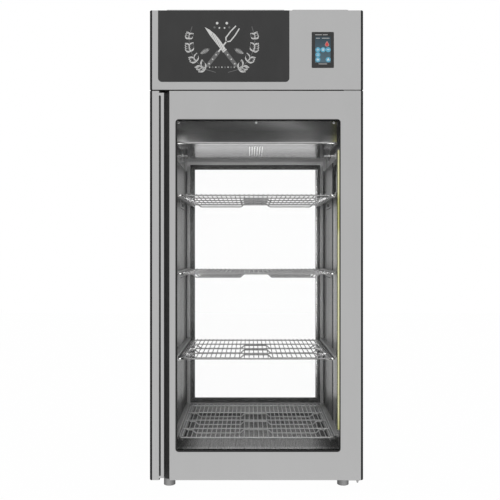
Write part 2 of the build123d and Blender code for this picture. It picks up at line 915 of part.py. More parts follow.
def door_inner_frame():
    side = half_width - edge_width
    frame = slab(area(-side, side, door_bottom, door_top), core_back, door_thickness)
    frame -= slab(window_area(inner_opening_setback, window_corner_radius), core_back - overrun,
                  door_thickness + overrun)
    groove = gasket_ring(gasket_dart_width / 2 + gasket_dart_clearance,
                         door_thickness - gasket_dart_depth - gasket_dart_clearance, door_thickness + overrun)
    return frame - groove


# Square ring centred on the line of the gasket
def gasket_ring(half, depth0, depth1):
    line = half_width - gasket_inset
    low = gasket_bottom + gasket_width / 2
    high = gasket_top - gasket_width / 2
    ring = area(-line - half, line + half, low - half, high + half)
    ring -= area(-line + half, line - half, low + half, high - half)
    return slab(ring, depth0, depth1)


def door_gasket():
    gasket = gasket_ring(gasket_width / 2, door_thickness, body_depth - gasket_seal_gap)
    return gasket + gasket_ring(gasket_dart_width / 2, door_thickness - gasket_dart_depth,
                                door_thickness + gasket_seal_gap)


# Full-height edge profile, rounded at its lower or upper outer end and broken along its front edge
def edge_profile(z0, z1, depth, round_end):
    profile = block(half_width - edge_width, half_width, 0, depth, z0, z1)
    end = profile.edges().filter_by(Axis.Y).sort_by(Axis.X)[2:].sort_by(Axis.Z)[round_end]
    profile = fillet(end, edge_corner_radius)
    front = profile.edges().filter_by(Axis.Z).group_by(Axis.Y)[0].sort_by(Axis.X)[-1]
    return chamfer(front, edge_front_chamfer)


def door_handle():
    left = -half_width + edge_width
    right = left + handle_width
    handle = block(left, right, 0, handle_plate, door_bottom, door_top)
    handle += block(right - handle_plate, right, 0, handle_lip_depth, door_bottom, door_top)
    slot_left = left + handle_slot_start
    handle -= block(slot_left, slot_left + handle_slot_width, -overrun, handle_plate + overrun,
                    door_bottom + handle_slot_end_bottom, door_top - handle_slot_end_top)
    for z0, z1 in ((door_bottom - overrun, door_bottom + handle_notch_bottom),
                   (door_top - handle_notch_top, door_top + overrun)):
        handle -= block(slot_left, right + overrun, -overrun, handle_lip_depth + overrun, z0, z1)
    nose = handle.edges().filter_by(Axis.Z).group_by(Axis.X)[-1]
    return fillet(nose, handle_plate / 3)


# Finger trough, undercut behind the lip of the pull and open at both ends
def grip_trough():
    left = sheet_left - grip_width - trough_undercut
    trough = block(left, sheet_left, 0, trough_depth, door_bottom, door_top)
    trough -= block(left + trough_wall, sheet_left - trough_wall, -overrun, trough_depth - trough_wall,
                    door_bottom - overrun, door_top + overrun)
    behind_pull = block(left - overrun, sheet_left - grip_width + hinge_gap, -overrun, handle_plate,
                        door_bottom - overrun, door_top + overrun)
    lip_room = block(sheet_left - grip_width - handle_plate - hinge_gap,
                     sheet_left - grip_width + hinge_gap, -overrun, handle_lip_depth + hinge_gap,
                     door_bottom - overrun, door_top + overrun)
    return trough - behind_pull - lip_room


first_pane = core_front + trim_thickness
pane_step = pane_thickness + pane_space


def door_pane(number):
    front = first_pane + pane_step * number
    grow = glazing_rebate - glazing_clearance
    return slab(window_area(grow), front, front + pane_thickness)


def glazing_ring(depth0, depth1):
    grow = glazing_rebate - glazing_clearance
    ring = window_area(grow) - window_area(spacer_setback)
    return slab(ring, depth0, depth1)


def door_spacers():
    rings = []
    for number in range(door_pane_count):
        front = first_pane + pane_step * number + pane_thickness
        last = number == door_pane_count - 1
        rings.append(glazing_ring(front, core_back if last else front + pane_space))
    return rings


def window_trim():
    lip = window_area(-glazing_clearance, window_corner_radius) - window_area(-trim_lip, window_corner_radius)
    grow = glazing_rebate - glazing_clearance
    flange = window_area(grow) - window_area(-trim_lip, window_corner_radius)
    return slab(lip, trim_lip_setback, door_sheet) + slab(flange, door_sheet, first_pane)


door_edge = edge_profile(door_bottom, door_top, door_thickness, 0)
keep("door_skin", door_skin())
keep("door_core", door_core())
keep("door_inner_frame", door_inner_frame())
keep("door_edges", *pair(door_edge))
keep("door_handle", door_handle())
keep("grip_trough", grip_trough())
keep("door_panes", *[door_pane(number) for number in range(door_pane_count)])
keep("door_spacers", *door_spacers())
keep("window_trim", window_trim())
keep("door_gasket", door_gasket())


# Fascia

# Folded tray open to the back, with a cut-out for the display
def fascia_panel():
    side = half_width - edge_width
    panel = block(-side, side, applied_plate, body_depth, fascia_bottom, fascia_top)
    panel -= block(-side + fascia_sheet, side - fascia_sheet, applied_plate + fascia_sheet,
                   body_depth + overrun, fascia_bottom + fascia_sheet, fascia_top - fascia_sheet)
    inset = bezel_flange - bezel_fit
    cut_out = area(bezel_left + inset, bezel_left + bezel_width - inset, bezel_bottom + inset,
                   bezel_bottom + bezel_height - inset)
    return panel - slab(cut_out, -overrun, applied_plate + fascia_sheet + overrun)


def decor_plate():
    plate = block(decor_left, decor_right, 0, applied_plate, decor_bottom, fascia_top)
    corners = plate.edges().filter_by(Axis.Y).sort_by(Axis.Z)[:2]
    return fillet(corners, decor_corner_radius)


def screen_area(spare):
    return area(bezel_left + screen_margin_side - spare, bezel_left + bezel_width - screen_margin_side + spare,
                bezel_bottom + screen_margin_bottom - spare,
                bezel_bottom + bezel_height - screen_margin_top + spare)


def display_bezel():
    right = bezel_left + bezel_width
    top = bezel_bottom + bezel_height
    bezel = slab(area(bezel_left, right, bezel_bottom, top, bezel_corner_radius), 0, applied_plate)
    bezel += slab(area(bezel_left + bezel_flange, right - bezel_flange, bezel_bottom + bezel_flange,
                       top - bezel_flange), 0, bezel_depth)
    return bezel - slab(screen_area(screen_fit), -overrun, screen_setback + screen_thickness)


keep("fascia_panel", fascia_panel())
keep("fascia_end_caps", *pair(edge_profile(fascia_bottom, fascia_top, body_depth, -1)))
keep("decor_plate", decor_plate())
keep("display_bezel", display_bezel())
keep("display_screen", slab(screen_area(0), screen_setback, screen_setback + screen_thickness))


# Machine space

def roof_panel():
    return block(-half_width, half_width, body_depth, cabinet_depth, casing_top, casing_top + roof_sheet)


# Raised cover, open below
def roof_cover(x0, x1):
    bottom = casing_top + roof_sheet
    top = bottom + roof_cover_height
    front = roof_cover_front_depth
    back = roof_cover_back_depth
    cover = block(x0, x1, front, back, bottom, top)
    edges = cover.edges().filter_by(Axis.Z) + cover.faces().sort_by(Axis.Z)[-1].edges()
    cover = chamfer(edges, roof_cover_wall)
    return cover - block(x0 + roof_cover_wall, x1 - roof_cover_wall, front + roof_cover_wall,
                         back - roof_cover_wall, bottom - overrun, top - roof_cover_wall)


def casing_back():
    side = half_width - casing_rear_flange + tray_rim
    back = cabinet_depth - skin_sheet
    panel = block(-side, side, back - skin_sheet, back, body_top, casing_top - skin_sheet - liner_clearance)
    middle = (body_top + casing_top) / 2
    for column in range(back_grille_columns):
        x = (column - (back_grille_columns - 1) / 2) * back_slot_pitch_x
        for row in range(back_grille_rows):
            z = middle + (row - (back_grille_rows - 1) / 2) * back_slot_pitch_z
            panel -= block(x - back_slot_width / 2, x + back_slot_width / 2, back - skin_sheet - overrun,
                           back + overrun, z - back_slot_height / 2, z + back_slot_height / 2)
    return panel


def unit_tray():
    half = tray_half_width
    tray = block(-half, half, tray_front_depth, tray_back_depth, body_top, body_top + tray_rim)
    return tray - block(-half + tray_sheet, half - tray_sheet, tray_front_depth + tray_sheet,
                        tray_back_depth - tray_sheet, body_top + tray_sheet, body_top + tray_rim + overrun)


tray_top = body_top + tray_sheet
condenser_right = condenser_left + condenser_width
condenser_back = condenser_depth + condenser_thickness
condenser_top = tray_top + condenser_height
condenser_fan_x = condenser_left + condenser_width / 2
condenser_fan_z = tray_top + condenser_height / 2
condenser_fan_place = condenser_back + shroud_length / 2
compressor_x = condenser_fan_x
drier_x = condenser_right + drier_gap


def condenser():
    return finned_block(condenser_left, condenser_right, condenser_depth, condenser_back, tray_top,
                        condenser_top, condenser_groove_count, condenser_groove_width,
                        condenser_groove_reach)


# Square duct behind the condenser, closed by a plate with the fan's round opening and motor
def fan_shroud():
    back = condenser_back + shroud_length
    shroud = block(condenser_left, condenser_right, condenser_back, back, tray_top, condenser_top)
    shroud -= block(condenser_left + shroud_wall, condenser_right - shroud_wall, condenser_back - overrun,
                    back - shroud_wall, tray_top + shroud_wall, condenser_top - shroud_wall)
    hole = condenser_fan_hole
    shroud -= along_y(condenser_fan_x, condenser_fan_z, back - shroud_wall - overrun, back + overrun, hole)
    spider = motor_spider(condenser_fan_x, condenser_fan_z, condenser_fan_place, hole,
                          condenser_hub_diameter, fan_hub_length)
    mirror_plane = Plane(origin=(0, y_at(condenser_fan_place), 0), z_dir=(0, 1, 0))
    spider = mirror(spider, about=mirror_plane)
    return shroud + spider


# Hermetic compressor: a many-sided can with broken edges on two foot rails
def compressor():
    foot_top = tray_top + compressor_foot_thickness
    body = upright(compressor_x, compressor_depth, foot_top, foot_top + compressor_height,
                   2 * compressor_radius, compressor_sides)
    body = chamfer(body.faces().sort_by(Axis.Z)[-1].edges(), compressor_shoulder)
    body = chamfer(body.faces().sort_by(Axis.Z)[0].edges(), compressor_base_chamfer)
    for side in (-1, 1):
        x = compressor_x + side * (compressor_radius - compressor_foot_width / 2)
        body += block(x - compressor_foot_width / 2, x + compressor_foot_width / 2,
                      compressor_depth - compressor_foot_reach, compressor_depth + compressor_foot_reach,
                      tray_top, foot_top + compressor_foot_thickness)
    return body


def electrical_box():
    box = block(box_left, box_left + box_width, box_front_depth, box_front_depth + box_depth, tray_top,
                tray_top + box_height)
    return chamfer(box.edges().filter_by(Axis.Z), box_chamfer)


# Filter drier lying on two blocks, with the pipe that leads from it to the condenser
def drier_and_pipes():
    z = tray_top + drier_height
    reach = drier_length / 2
    drier = along_y(drier_x, z, drier_depth - reach, drier_depth + reach, drier_diameter, drier_sides)
    drier = chamfer(drier.faces().filter_by(Axis.Y).edges(), drier_diameter / 4)
    for side in (-1, 1):
        depth = drier_depth + side * reach / 2
        drier += block(drier_x - drier_diameter / 4, drier_x + drier_diameter / 4,
                       depth - drier_diameter / 6, depth + drier_diameter / 6, tray_top, z)
    front = drier_depth - reach
    corner = condenser_depth + condenser_thickness / 2
    path = Polyline((drier_x, y_at(front + overrun), z), (drier_x, y_at(corner + pipe_bend_cut), z),
                    (drier_x - pipe_bend_cut, y_at(corner), z), (condenser_right, y_at(corner), z))
    start = Plane(origin=(drier_x, y_at(front + overrun), z), z_dir=(0, -1, 0))
    return drier + sweep(start * RegularPolygon(pipe_diameter / 2, tube_sides), path=path,
                         transition=Transition.RIGHT)


keep("roof_panel", roof_panel())
keep("roof_covers", roof_cover(-half_width + roof_cover_left_side, roof_cover_split),
     roof_cover(roof_cover_split + roof_cover_gap, half_width - roof_cover_right_side))
keep("casing_back", casing_back())
keep("unit_tray", unit_tray())
keep("condenser", condenser())
keep("fan_shroud", fan_shroud())
keep("condenser_fan", fan_rotor(condenser_fan_x, condenser_fan_z, condenser_fan_place,
                                condenser_fan_diameter, condenser_hub_diameter, fan_hub_length,
                                condenser_blade_chord))
keep("compressor", compressor())
keep("electrical_box", electrical_box())
keep("drier_and_pipes", drier_and_pipes())


# Feet

def foot_plate(x, depth):
    half = foot_plate_side / 2
    plate = block(x - half, x + half, depth - half, depth + half, body_bottom - foot_plate_thickness,
                  body_bottom)
    bore = foot_stud_diameter + 2 * foot_stud_fit
    return plate - upright(x, depth, body_bottom - foot_plate_thickness - overrun, body_bottom + overrun,
                           bore)


# Levelling foot: many-sided cup, six-sided nut and round stud
def foot(x, depth):
    cup = upright(x, depth, 0, foot_cup_height, foot_diameter, foot_cup_sides)
    cup = chamfer(cup.faces().sort_by(Axis.Z)[-1].edges(), foot_edge_chamfer)
    nut_top = body_bottom - foot_plate_thickness - foot_play
    cup += upright(x, depth, foot_cup_height / 2, nut_top, foot_nut_width, bolt_sides)
    return cup + upright(x, depth, foot_cup_height / 2, body_bottom + foot_stud_reach, foot_stud_diameter)


foot_places = {
    "foot_front_left": (-foot_x, foot_front_depth),
    "foot_front_right": (foot_x, foot_front_depth),
    "foot_rear_left": (-foot_x, foot_rear_depth),
    "foot_rear_right": (foot_x, foot_rear_depth),
}
keep("foot_plates", *[foot_plate(*place) for place in foot_places.values()])
for name, place in foot_places.items():
    keep(name, foot(*place))

os.makedirs("parts", exist_ok=True)
for name, shape in parts.items():
    export_step(shape, f"parts/{name}.step")
print(len(parts), "nodes,", sum(len(shape.solids()) for shape in parts.values()), "solids")
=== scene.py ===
import math

import bmesh
import bpy
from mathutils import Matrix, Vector


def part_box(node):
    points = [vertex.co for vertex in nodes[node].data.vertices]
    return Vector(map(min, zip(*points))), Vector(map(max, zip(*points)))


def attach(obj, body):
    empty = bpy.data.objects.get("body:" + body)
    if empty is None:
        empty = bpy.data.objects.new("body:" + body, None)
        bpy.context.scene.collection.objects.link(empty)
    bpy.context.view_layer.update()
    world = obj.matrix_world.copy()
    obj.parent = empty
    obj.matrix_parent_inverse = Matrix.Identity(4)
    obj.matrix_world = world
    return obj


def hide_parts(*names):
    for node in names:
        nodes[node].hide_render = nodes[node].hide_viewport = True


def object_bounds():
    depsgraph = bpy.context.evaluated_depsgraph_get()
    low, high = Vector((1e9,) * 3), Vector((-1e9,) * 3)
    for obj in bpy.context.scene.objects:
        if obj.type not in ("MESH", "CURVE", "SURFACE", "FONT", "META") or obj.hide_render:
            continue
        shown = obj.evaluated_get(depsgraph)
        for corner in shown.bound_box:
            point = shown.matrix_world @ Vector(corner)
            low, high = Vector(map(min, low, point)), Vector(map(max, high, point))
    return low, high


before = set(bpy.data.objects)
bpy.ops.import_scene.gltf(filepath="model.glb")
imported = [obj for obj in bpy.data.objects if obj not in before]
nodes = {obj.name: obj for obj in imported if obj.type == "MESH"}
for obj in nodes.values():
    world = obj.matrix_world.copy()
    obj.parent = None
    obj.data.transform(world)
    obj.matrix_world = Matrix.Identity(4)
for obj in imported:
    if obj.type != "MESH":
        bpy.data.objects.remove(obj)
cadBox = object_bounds()
print("frame loaded:", len(nodes), "nodes")

frontY = cadBox[0][1]  # the door's face; depths are measured back from it


def mm(value):
    return value / 1000.0


def at(x, depth, z):  # millimetres into the frame's metres
    return Vector((mm(x), frontY + mm(depth), mm(z)))


def limitsOf(node):  # a node's limits in millimetres: x, depth and height
    low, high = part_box(node)
    return (low.x * 1000, high.x * 1000, (low.y - frontY) * 1000, (high.y - frontY) * 1000,
            low.z * 1000, high.z * 1000)


def newObject(name, data):
    made = bpy.data.objects.new(name, data)
    bpy.context.scene.collection.objects.link(made)
    return made


# one straight look at the front, a little left of the middle
frontView = dict(x=-27.5, distance=2932.5, height=1024, lens=50, sensor=36)


def setCamera():
    lens = bpy.data.cameras.new("frontCamera")
    lens.lens = frontView["lens"]
    lens.sensor_width = frontView["sensor"]
    camera = newObject("frontCamera", lens)
    camera.location = at(frontView["x"], -frontView["distance"], frontView["height"])
    camera.rotation_euler = (math.radians(90), 0, 0)
    bpy.context.scene.camera = camera
    print("camera set")


setCamera()


# material helpers; a node is added to the tree of the node or socket that is given first
looks = {}


def feed(into, value):
    if isinstance(value, bpy.types.NodeSocket):
        value.id_data.links.new(value, into)
    else:
        into.default_value = value


def addNode(owner, kind, inputs=(), **settings):
    node = owner.id_data.nodes.new("ShaderNode" + kind)
    for key, value in settings.items():
        setattr(node, key, value)
    for key, value in dict(inputs).items():
        feed(node.inputs[key], value)
    return node


def newMaterial(name, colour, metallic=0.0, roughness=0.5, edge=1.0, gloss=0.5):
    looks[name] = bpy.data.materials.new(name)
    looks[name].use_nodes = True
    shader = looks[name].node_tree.nodes["Principled BSDF"]
    for key, value in (("Base Color", (*colour, 1)), ("Metallic", metallic), ("Roughness", roughness),
                       ("Specular Tint", (edge, edge, edge, 1)), ("Specular IOR Level", gloss)):
        shader.inputs[key].default_value = value
    return shader


def wear(shader, colour, roughness=None):
    feed(shader.inputs["Base Color"], colour)
    if roughness:
        feed(shader.inputs["Roughness"], roughness)


def grey(level):
    return (level, level, level)


def greys(stops):
    return [(place, grey(level)) for place, level in stops]


def framePlace(owner):
    return addNode(owner, "TexCoord").outputs["Object"]


def stretchedNoise(shader, scale, stretch=(1, 1, 1), detail=2.0, turn=(0, 0, 0)):
    mapping = addNode(shader, "Mapping", {"Vector": framePlace(shader), "Rotation": turn, "Scale": stretch})
    return addNode(shader, "TexNoise", {"Vector": mapping.outputs["Vector"], "Scale": scale,
                                        "Detail": detail}).outputs["Fac"]


def remap(value, low, high, start=0.25, end=0.75):
    return addNode(value, "MapRange", {"Value": value, "From Min": start, "From Max": end,
                                       "To Min": low, "To Max": high}).outputs["Result"]


def rampOf(value, stops):  # stops are (position, colour)
    ramp = addNode(value, "ValToRGB", {"Fac": value})
    elements = ramp.color_ramp.elements
    while len(elements) < len(stops):
        elements.new(0.5)
    for element, (position, colour) in zip(elements, stops):
        element.position = position
        element.color = (*colour, 1)
    return ramp.outputs["Color"]


def shade(value, dark, light, start=0.25, end=0.75):
    return rampOf(value, [(start, dark), (end, light)])


def alongAxis(shader, axis, start, end):  # 0 to 1 between two places on one axis of the frame, in metres
    split = addNode(shader, "SeparateXYZ", {"Vector": framePlace(shader)})
    return remap(split.outputs[axis], 0.0, 1.0, start, end)


def mixed(first, second, share=1.0, mode="MULTIPLY"):
    return addNode(first, "MixRGB", {"Fac": share, "Color1": first, "Color2": second},
                   blend_type=mode).outputs["Color"]


def worked(operation, first, second=0.0, clamp=False):
    return addNode(first, "Math", {0: first, 1: second}, operation=operation,
                   use_clamp=clamp).outputs["Value"]


def bump(shader, height, strength, distance):
    node = addNode(shader, "Bump", {"Strength": strength, "Distance": distance, "Height": height})
    feed(shader.inputs["Normal"], node.outputs["Normal"])


# brushed sheet: long fine grain under faint slanted clouds; edge dulls its look at a grazing angle
def brushedSteel(name, level, roughness, grain, cloud=0.008, spread=0.008, edge=1.0, metal=1.0, tone=None):
    shader = newMaterial(name, grey(level), metal, roughness, edge)
    fine = stretchedNoise(shader, 1.0, grain, 4.0)
    clouds = stretchedNoise(shader, 9.0, (1.0, 1.0, 0.28), 2.0, (0, 0.6, 0))
    colour = mixed(shade(fine, grey(level - spread), grey(level + spread)),
                   shade(clouds, grey(level - cloud), grey(level + cloud)), 0.5, "MIX")
    # an optional ramp along one axis paints light and shade on the sheet
    if tone:
        axis, start, end, stops = tone
        colour = mixed(colour, rampOf(alongAxis(shader, axis, start, end), greys(stops)))
    wear(shader, colour, remap(fine, roughness * 0.88, roughness * 1.12))
    bump(shader, fine, 0.06, 0.0003)


# thin zinc-coated sheet with its flaky crystals
def zincSheet(name, level, roughness):
    shader = newMaterial(name, grey(level), 0.9, roughness)
    cells = addNode(shader, "TexVoronoi", {"Vector": framePlace(shader), "Scale": 60})
    distance = cells.outputs["Distance"]
    wear(shader, shade(distance, grey(level - 0.07), grey(level + 0.05), 0.0, 0.8),
         remap(distance, roughness - 0.09, roughness + 0.1, 0.0, 0.8))


# drawn wire: bright, with faint dull patches along it; share darkens the upper shelves with painted shade
def drawnWire(name, level, roughness, edge, share):
    shader = newMaterial(name, grey(level), 1.0, roughness, edge)
    patches = stretchedNoise(shader, 28.0, detail=3.0)
    height = alongAxis(shader, "Z", 0.3, 0.5)
    worn = shade(patches, grey(level - 0.08), grey(level + 0.06))
    spots = shade(patches, grey(roughness * 0.75), grey(roughness * 1.3))
    wear(shader, mixed(worn, shade(height, grey(1.0), grey(share), 0.0, 1.0)),
         mixed(spots, shade(height, grey(1.0), grey(0.4), 0.0, 1.0)))


# moulded or extruded plastic with a fine leathery skin; gloss is how strongly it shines
def mouldedPlastic(name, colour, roughness, skin=900.0, coat=0.0, gloss=0.25):
    shader = newMaterial(name, colour, 0.0, roughness, gloss=gloss)
    shader.inputs["Coat Weight"].default_value = coat
    shader.inputs["Coat Roughness"].default_value = 0.12
    speck = stretchedNoise(shader, skin)
    patches = stretchedNoise(shader, 14.0, (1, 1, 0.5), 3.0)
    darker = tuple(channel * 0.92 for channel in colour)
    lighter = tuple(min(1.0, channel * 1.08 + 0.001) for channel in colour)
    wear(shader, shade(patches, darker, lighter), remap(speck, roughness - 0.06, roughness + 0.08))
    bump(shader, speck, 0.12, 0.0003)


# clear pane: its gloss rises towards a grazing look
def clearGlass(name, colour, facing, grazing):
    shader = newMaterial(name, colour, 0.0, 0.02)
    shader.inputs["IOR"].default_value = 1.5
    smear = stretchedNoise(shader, 5.0, (1, 1, 0.6))
    feed(shader.inputs["Roughness"], remap(smear, 0.01, 0.03))
    weight = addNode(shader, "LayerWeight", {"Blend": 0.5})
    feed(shader.inputs["Alpha"], remap(weight.outputs["Facing"], facing, grazing, 0.25, 1.0))


# milky strip, with painted reflections in bands by height: paler by the shelves, more yellow where it shows
# against the dark wall
def warmDiffuser(name, pale, yellow, strength):
    shader = newMaterial(name, pale, 0.0, 0.4)
    bands = rampOf(alongAxis(shader, "Z", 0.2, 1.5), [(0.02, yellow), (0.10, pale), (0.68, pale),
                                                      (0.71, yellow), (0.80, yellow), (0.83, pale)])
    milk = stretchedNoise(shader, 40.0, (1, 1, 0.2))
    colour = mixed(bands, shade(milk, grey(0.94), grey(1.0)))
    wear(shader, colour)
    feed(shader.inputs["Emission Color"], colour)
    shader.inputs["Emission Strength"].default_value = strength


def anodised(name, level, roughness, edge=1.0, metal=1.0):
    shader = newMaterial(name, grey(level), metal, roughness, edge)
    streak = stretchedNoise(shader, 1.0, (700.0, 700.0, 6.0))
    wear(shader, shade(streak, grey(level * 0.94), grey(level * 1.06)),
         remap(streak, roughness - 0.04, roughness + 0.06))


# thin fins on edge, seen as close stripes with painted shade between them
def finnedBlock(name, pitch):
    shader = newMaterial(name, grey(0.5), 0.9, 0.35)
    scale = math.pi / (10 * pitch)
    wave = addNode(shader, "TexWave", {"Vector": framePlace(shader), "Scale": scale}, wave_type="BANDS",
                   bands_direction="X").outputs["Fac"]
    wear(shader, shade(wave, grey(0.05), grey(0.62), 0.15, 0.6))
    bump(shader, wave, 0.6, 0.001)


def copperPipe(name, tarnished, bright):
    shader = newMaterial(name, bright, 1.0, 0.3)
    tarnish = stretchedNoise(shader, 30.0, detail=4.0)
    wear(shader, shade(tarnish, tarnished, bright), remap(tarnish, 0.22, 0.45))


# display glass: slate blue, lighter towards its lower end
def screenPanel(name, top, bottom):
    shader = newMaterial(name, top, 0.0, 0.12, gloss=0.2)
    glow = shade(alongAxis(shader, "Z", 1.815, 1.926), bottom, top, 0.0, 1.0)
    wear(shader, mixed(glow, shade(stretchedNoise(shader, 60.0), grey(0.95), grey(1.0))))


def printedInk(name, colour, mottle=0.05):
    shader = newMaterial(name, colour, 0.0, 0.55, gloss=0.15)
    faded = tuple(channel * (1 - mottle) for channel in colour)
    wear(shader, shade(stretchedNoise(shader, 420.0), faded, colour))


# the housing's front: a dark satin sheet with painted light: a slanted painted highlight to the right,
# painted glare low down at both ends, painted light towards its top and a painted yellow reflection of the
# light strip at its right end
# levels, its tip and the slant give the slanted painted highlight; ends and low mark the painted glare,
# raised by lift; even gives painted light towards the top
coverPaintedLight = dict(
    x=(-0.354, 0.354), z=(1.498, 1.597), lift=6.5, tip=(0.16, 0.16, 0.16),
    levels=[(0.0, 0.25), (0.08, 0.34), (0.15, 0.23), (0.25, 0.14), (0.45, 0.14), (0.6, 0.20), (0.74, 0.37),
        (0.84, 0.41), (0.93, 0.22)],
    ends=[(0.0, 0.8), (0.04, 1.0), (0.08, 0.18), (0.2, 0.0), (0.9, 0.0), (0.97, 0.45), (1.0, 1.0)],
    low=[(0.0, 1.0), (0.16, 0.85), (0.35, 0.1), (0.5, 0.0)],
    even=[(0.0, 0.36), (0.16, 0.25), (0.47, 0.33), (0.8, 0.8), (1.0, 1.0)],
    paintedHighlightSlant=[(0.0, 0.0), (0.47, 0.0), (0.8, 0.12), (1.0, 0.14)])


def coverFront(name):
    shader = newMaterial(name, grey(0.1), 0.0, 0.38, gloss=0.2)
    across = alongAxis(shader, "X", *coverPaintedLight["x"])
    up = alongAxis(shader, "Z", *coverPaintedLight["z"])

    def tone(value, key):
        return rampOf(value, greys(coverPaintedLight[key]))

    # the painted highlight slants with height
    slanted = worked("ADD", across, tone(up, "paintedHighlightSlant"), clamp=True)
    levels = rampOf(slanted, greys(coverPaintedLight["levels"]) + [(1.0, coverPaintedLight["tip"])])
    # painted glare low down at both ends
    paintedGlareShare = mixed(tone(across, "ends"), tone(up, "low"))
    lift = shade(paintedGlareShare, grey(1.0 / coverPaintedLight["lift"]), grey(1.0), 0.0, 1.0)
    bright = mixed(mixed(levels, tone(up, "even")), lift)
    full = mixed(bright, (*grey(coverPaintedLight["lift"]), 1))
    # painted yellow reflection of the light strip near the right end
    glow = shade(across, grey(1.0), (1.0, 1.0, 0.5), 0.955, 0.985)
    fine = stretchedNoise(shader, 1.0, grainAcross, 3.0)
    wear(shader, mixed(full, glow), remap(fine, 0.33, 0.43))


grainUp = (900.0, 900.0, 5.0)
grainAcross = (5.0, 900.0, 900.0)
grainBack = (900.0, 5.0, 900.0)
grainCalm = (3.0, 90.0, 90.0)

# painted light and shade on a sheet: an axis, two places on it in metres and the shares of the level between
# them
steelLooks = {
    "satinFaceSteel": dict(level=0.475, roughness=0.34, grain=grainUp, cloud=0.014),
    "satinSideSteel": dict(level=0.475, roughness=0.38, grain=grainUp, cloud=0.02),
    "satinPullSteel": dict(level=0.475, roughness=0.30, grain=grainUp),
    "linerSteel": dict(level=0.405, roughness=0.40, grain=grainUp, cloud=0.02, edge=0.7),
    # a lighter copy of the liner steel for painted light, with painted shade in the rear corner by the rear
    # wall
    "wallLinerSteel": dict(
        level=0.9, roughness=0.40, grain=grainUp, cloud=0.02, edge=0.7,
        tone=("Y", 0.315, 0.337, [(0.0, 1.0), (1.0, 0.45)])),
    "rearWallSteel": dict(level=0.45, roughness=0.18, grain=grainUp, cloud=0.01, metal=0.4),
    # painted shade low down by the floor
    "rackPanelSteel": dict(
        level=0.32, roughness=0.45, grain=grainUp, cloud=0.03, spread=0.02, edge=0.75,
        tone=("Z", 0.16, 0.32, [(0.0, 0.3), (0.5, 0.35), (1.0, 1.0)])),
    # a lighter copy of the rack panel steel: painted light where the strip beside it lights the post
    "rackPostSteel": dict(level=0.46, roughness=0.30, grain=grainUp, spread=0.03, edge=0.8),
    # painted shade on the floor behind its front strip, under the shelves
    "satinFloorSteel": dict(
        level=0.30, roughness=0.28, grain=grainBack, cloud=0.03, edge=0.8, metal=0.5,
        tone=("Y", -0.35, 0.33, [(0.0, 1.0), (0.08, 1.0), (0.13, 0.38), (1.0, 0.38)])),
    # painted highlight along the front bend, then a painted reflection that fades towards the back
    "polishedPanSteel": dict(
        level=0.92, roughness=0.19, grain=grainCalm, spread=0.004, edge=0.75,
        tone=("Y", -0.310, 0.175, [
            (0.0, 0.45), (0.014, 1.0), (0.03, 1.0), (0.036, 0.52), (0.27, 0.50), (0.50, 0.30), (0.62, 0.20),
            (0.76, 0.22), (0.86, 0.36), (0.92, 0.28)])),
    # brighter than the pan steel: painted highlights on the ribs
    "pressedRibSteel": dict(level=0.8, roughness=0.12, grain=grainAcross),
    "runnerSteel": dict(level=0.42, roughness=0.50, grain=grainBack, cloud=0.02, edge=0.8),
    "hingeSteel": dict(level=0.36, roughness=0.34, grain=grainAcross, cloud=0.03),
    # painted highlight in a band across the middle
    "bracketSteel": dict(
        level=0.8, roughness=0.35, grain=grainAcross, cloud=0.03,
        tone=("Z", 1.44, 1.49, [
            (0.0, 0.3), (0.44, 0.3), (0.46, 1.0), (0.68, 1.0), (0.72, 0.25), (1.0, 0.2)])),
    # painted light: lighter on the top, above the window, darker below
    "rearTrimSteel": dict(
        level=0.75, roughness=0.2, grain=grainUp, cloud=0.02, metal=0.5,
        tone=("Z", 1.46, 1.48, [(0.0, 0.45), (1.0, 1.0)])),
    # painted highlight down the middle of each foot and painted shade at its sides
    "footSteel": dict(
        level=0.30, roughness=0.28, grain=grainAcross, cloud=0.03, edge=0.3,
        tone=("X", -0.407, 0.407, [
            (0.0, 0.45), (0.010, 0.6), (0.027, 1.0), (0.038, 1.0), (0.055, 0.6), (0.0614, 0.45),
            (0.9386, 0.45), (0.945, 0.6), (0.962, 1.0), (0.973, 1.0), (0.990, 0.6), (1.0, 0.45)])),
}
plasticLooks = {
    "edgeProfileBlack": dict(colour=(0.010, 0.010, 0.011), roughness=0.42, gloss=0.14),
    "troughBlack": dict(colour=grey(0.062), roughness=0.55),
    "windowTrimBlack": dict(colour=grey(0.015), roughness=0.4),
    "doorSillBlack": dict(colour=grey(0.01), roughness=0.75, gloss=0.04),
    "gasketRubber": dict(colour=(0.028, 0.028, 0.029), roughness=0.62),
    "decorCharcoal": dict(colour=grey(0.038), roughness=0.42, skin=1400.0),
    "bezelCharcoal": dict(colour=grey(0.036), roughness=0.40),
    "motorBlack": dict(colour=(0.02, 0.02, 0.021), roughness=0.5),
    "electricalBoxGrey": dict(colour=(0.40, 0.41, 0.42), roughness=0.55),
    "compressorEnamel": dict(colour=(0.012, 0.012, 0.013), roughness=0.28, skin=300.0, coat=0.4),
}
aluminiumLooks = {
    # nearly black: painted shade on the channel's aluminium
    "channelAluminium": dict(level=0.04, roughness=0.35, edge=0.4),
    "glazingBarAluminium": dict(level=0.08, roughness=0.2),
    "spacerBarAluminium": dict(level=0.46, roughness=0.2),
    "screwSteel": dict(level=0.95, roughness=0.3, metal=0.2),
}
inkLooks = {
    "printPaleGrey": dict(colour=(0.70, 0.70, 0.69), mottle=0.12),
    "printMiddleGrey": dict(colour=grey(0.17), mottle=0.12),
    "screenDashGrey": dict(colour=grey(0.46), mottle=0.06),
    "keyCyan": dict(colour=(0.14, 0.43, 0.60), mottle=0.06),
    "keyIconPale": dict(colour=(0.86, 0.90, 0.92)),
    "signRed": dict(colour=(0.62, 0.09, 0.09)),
    "signEdgePale": dict(colour=(0.52, 0.36, 0.33)),
}
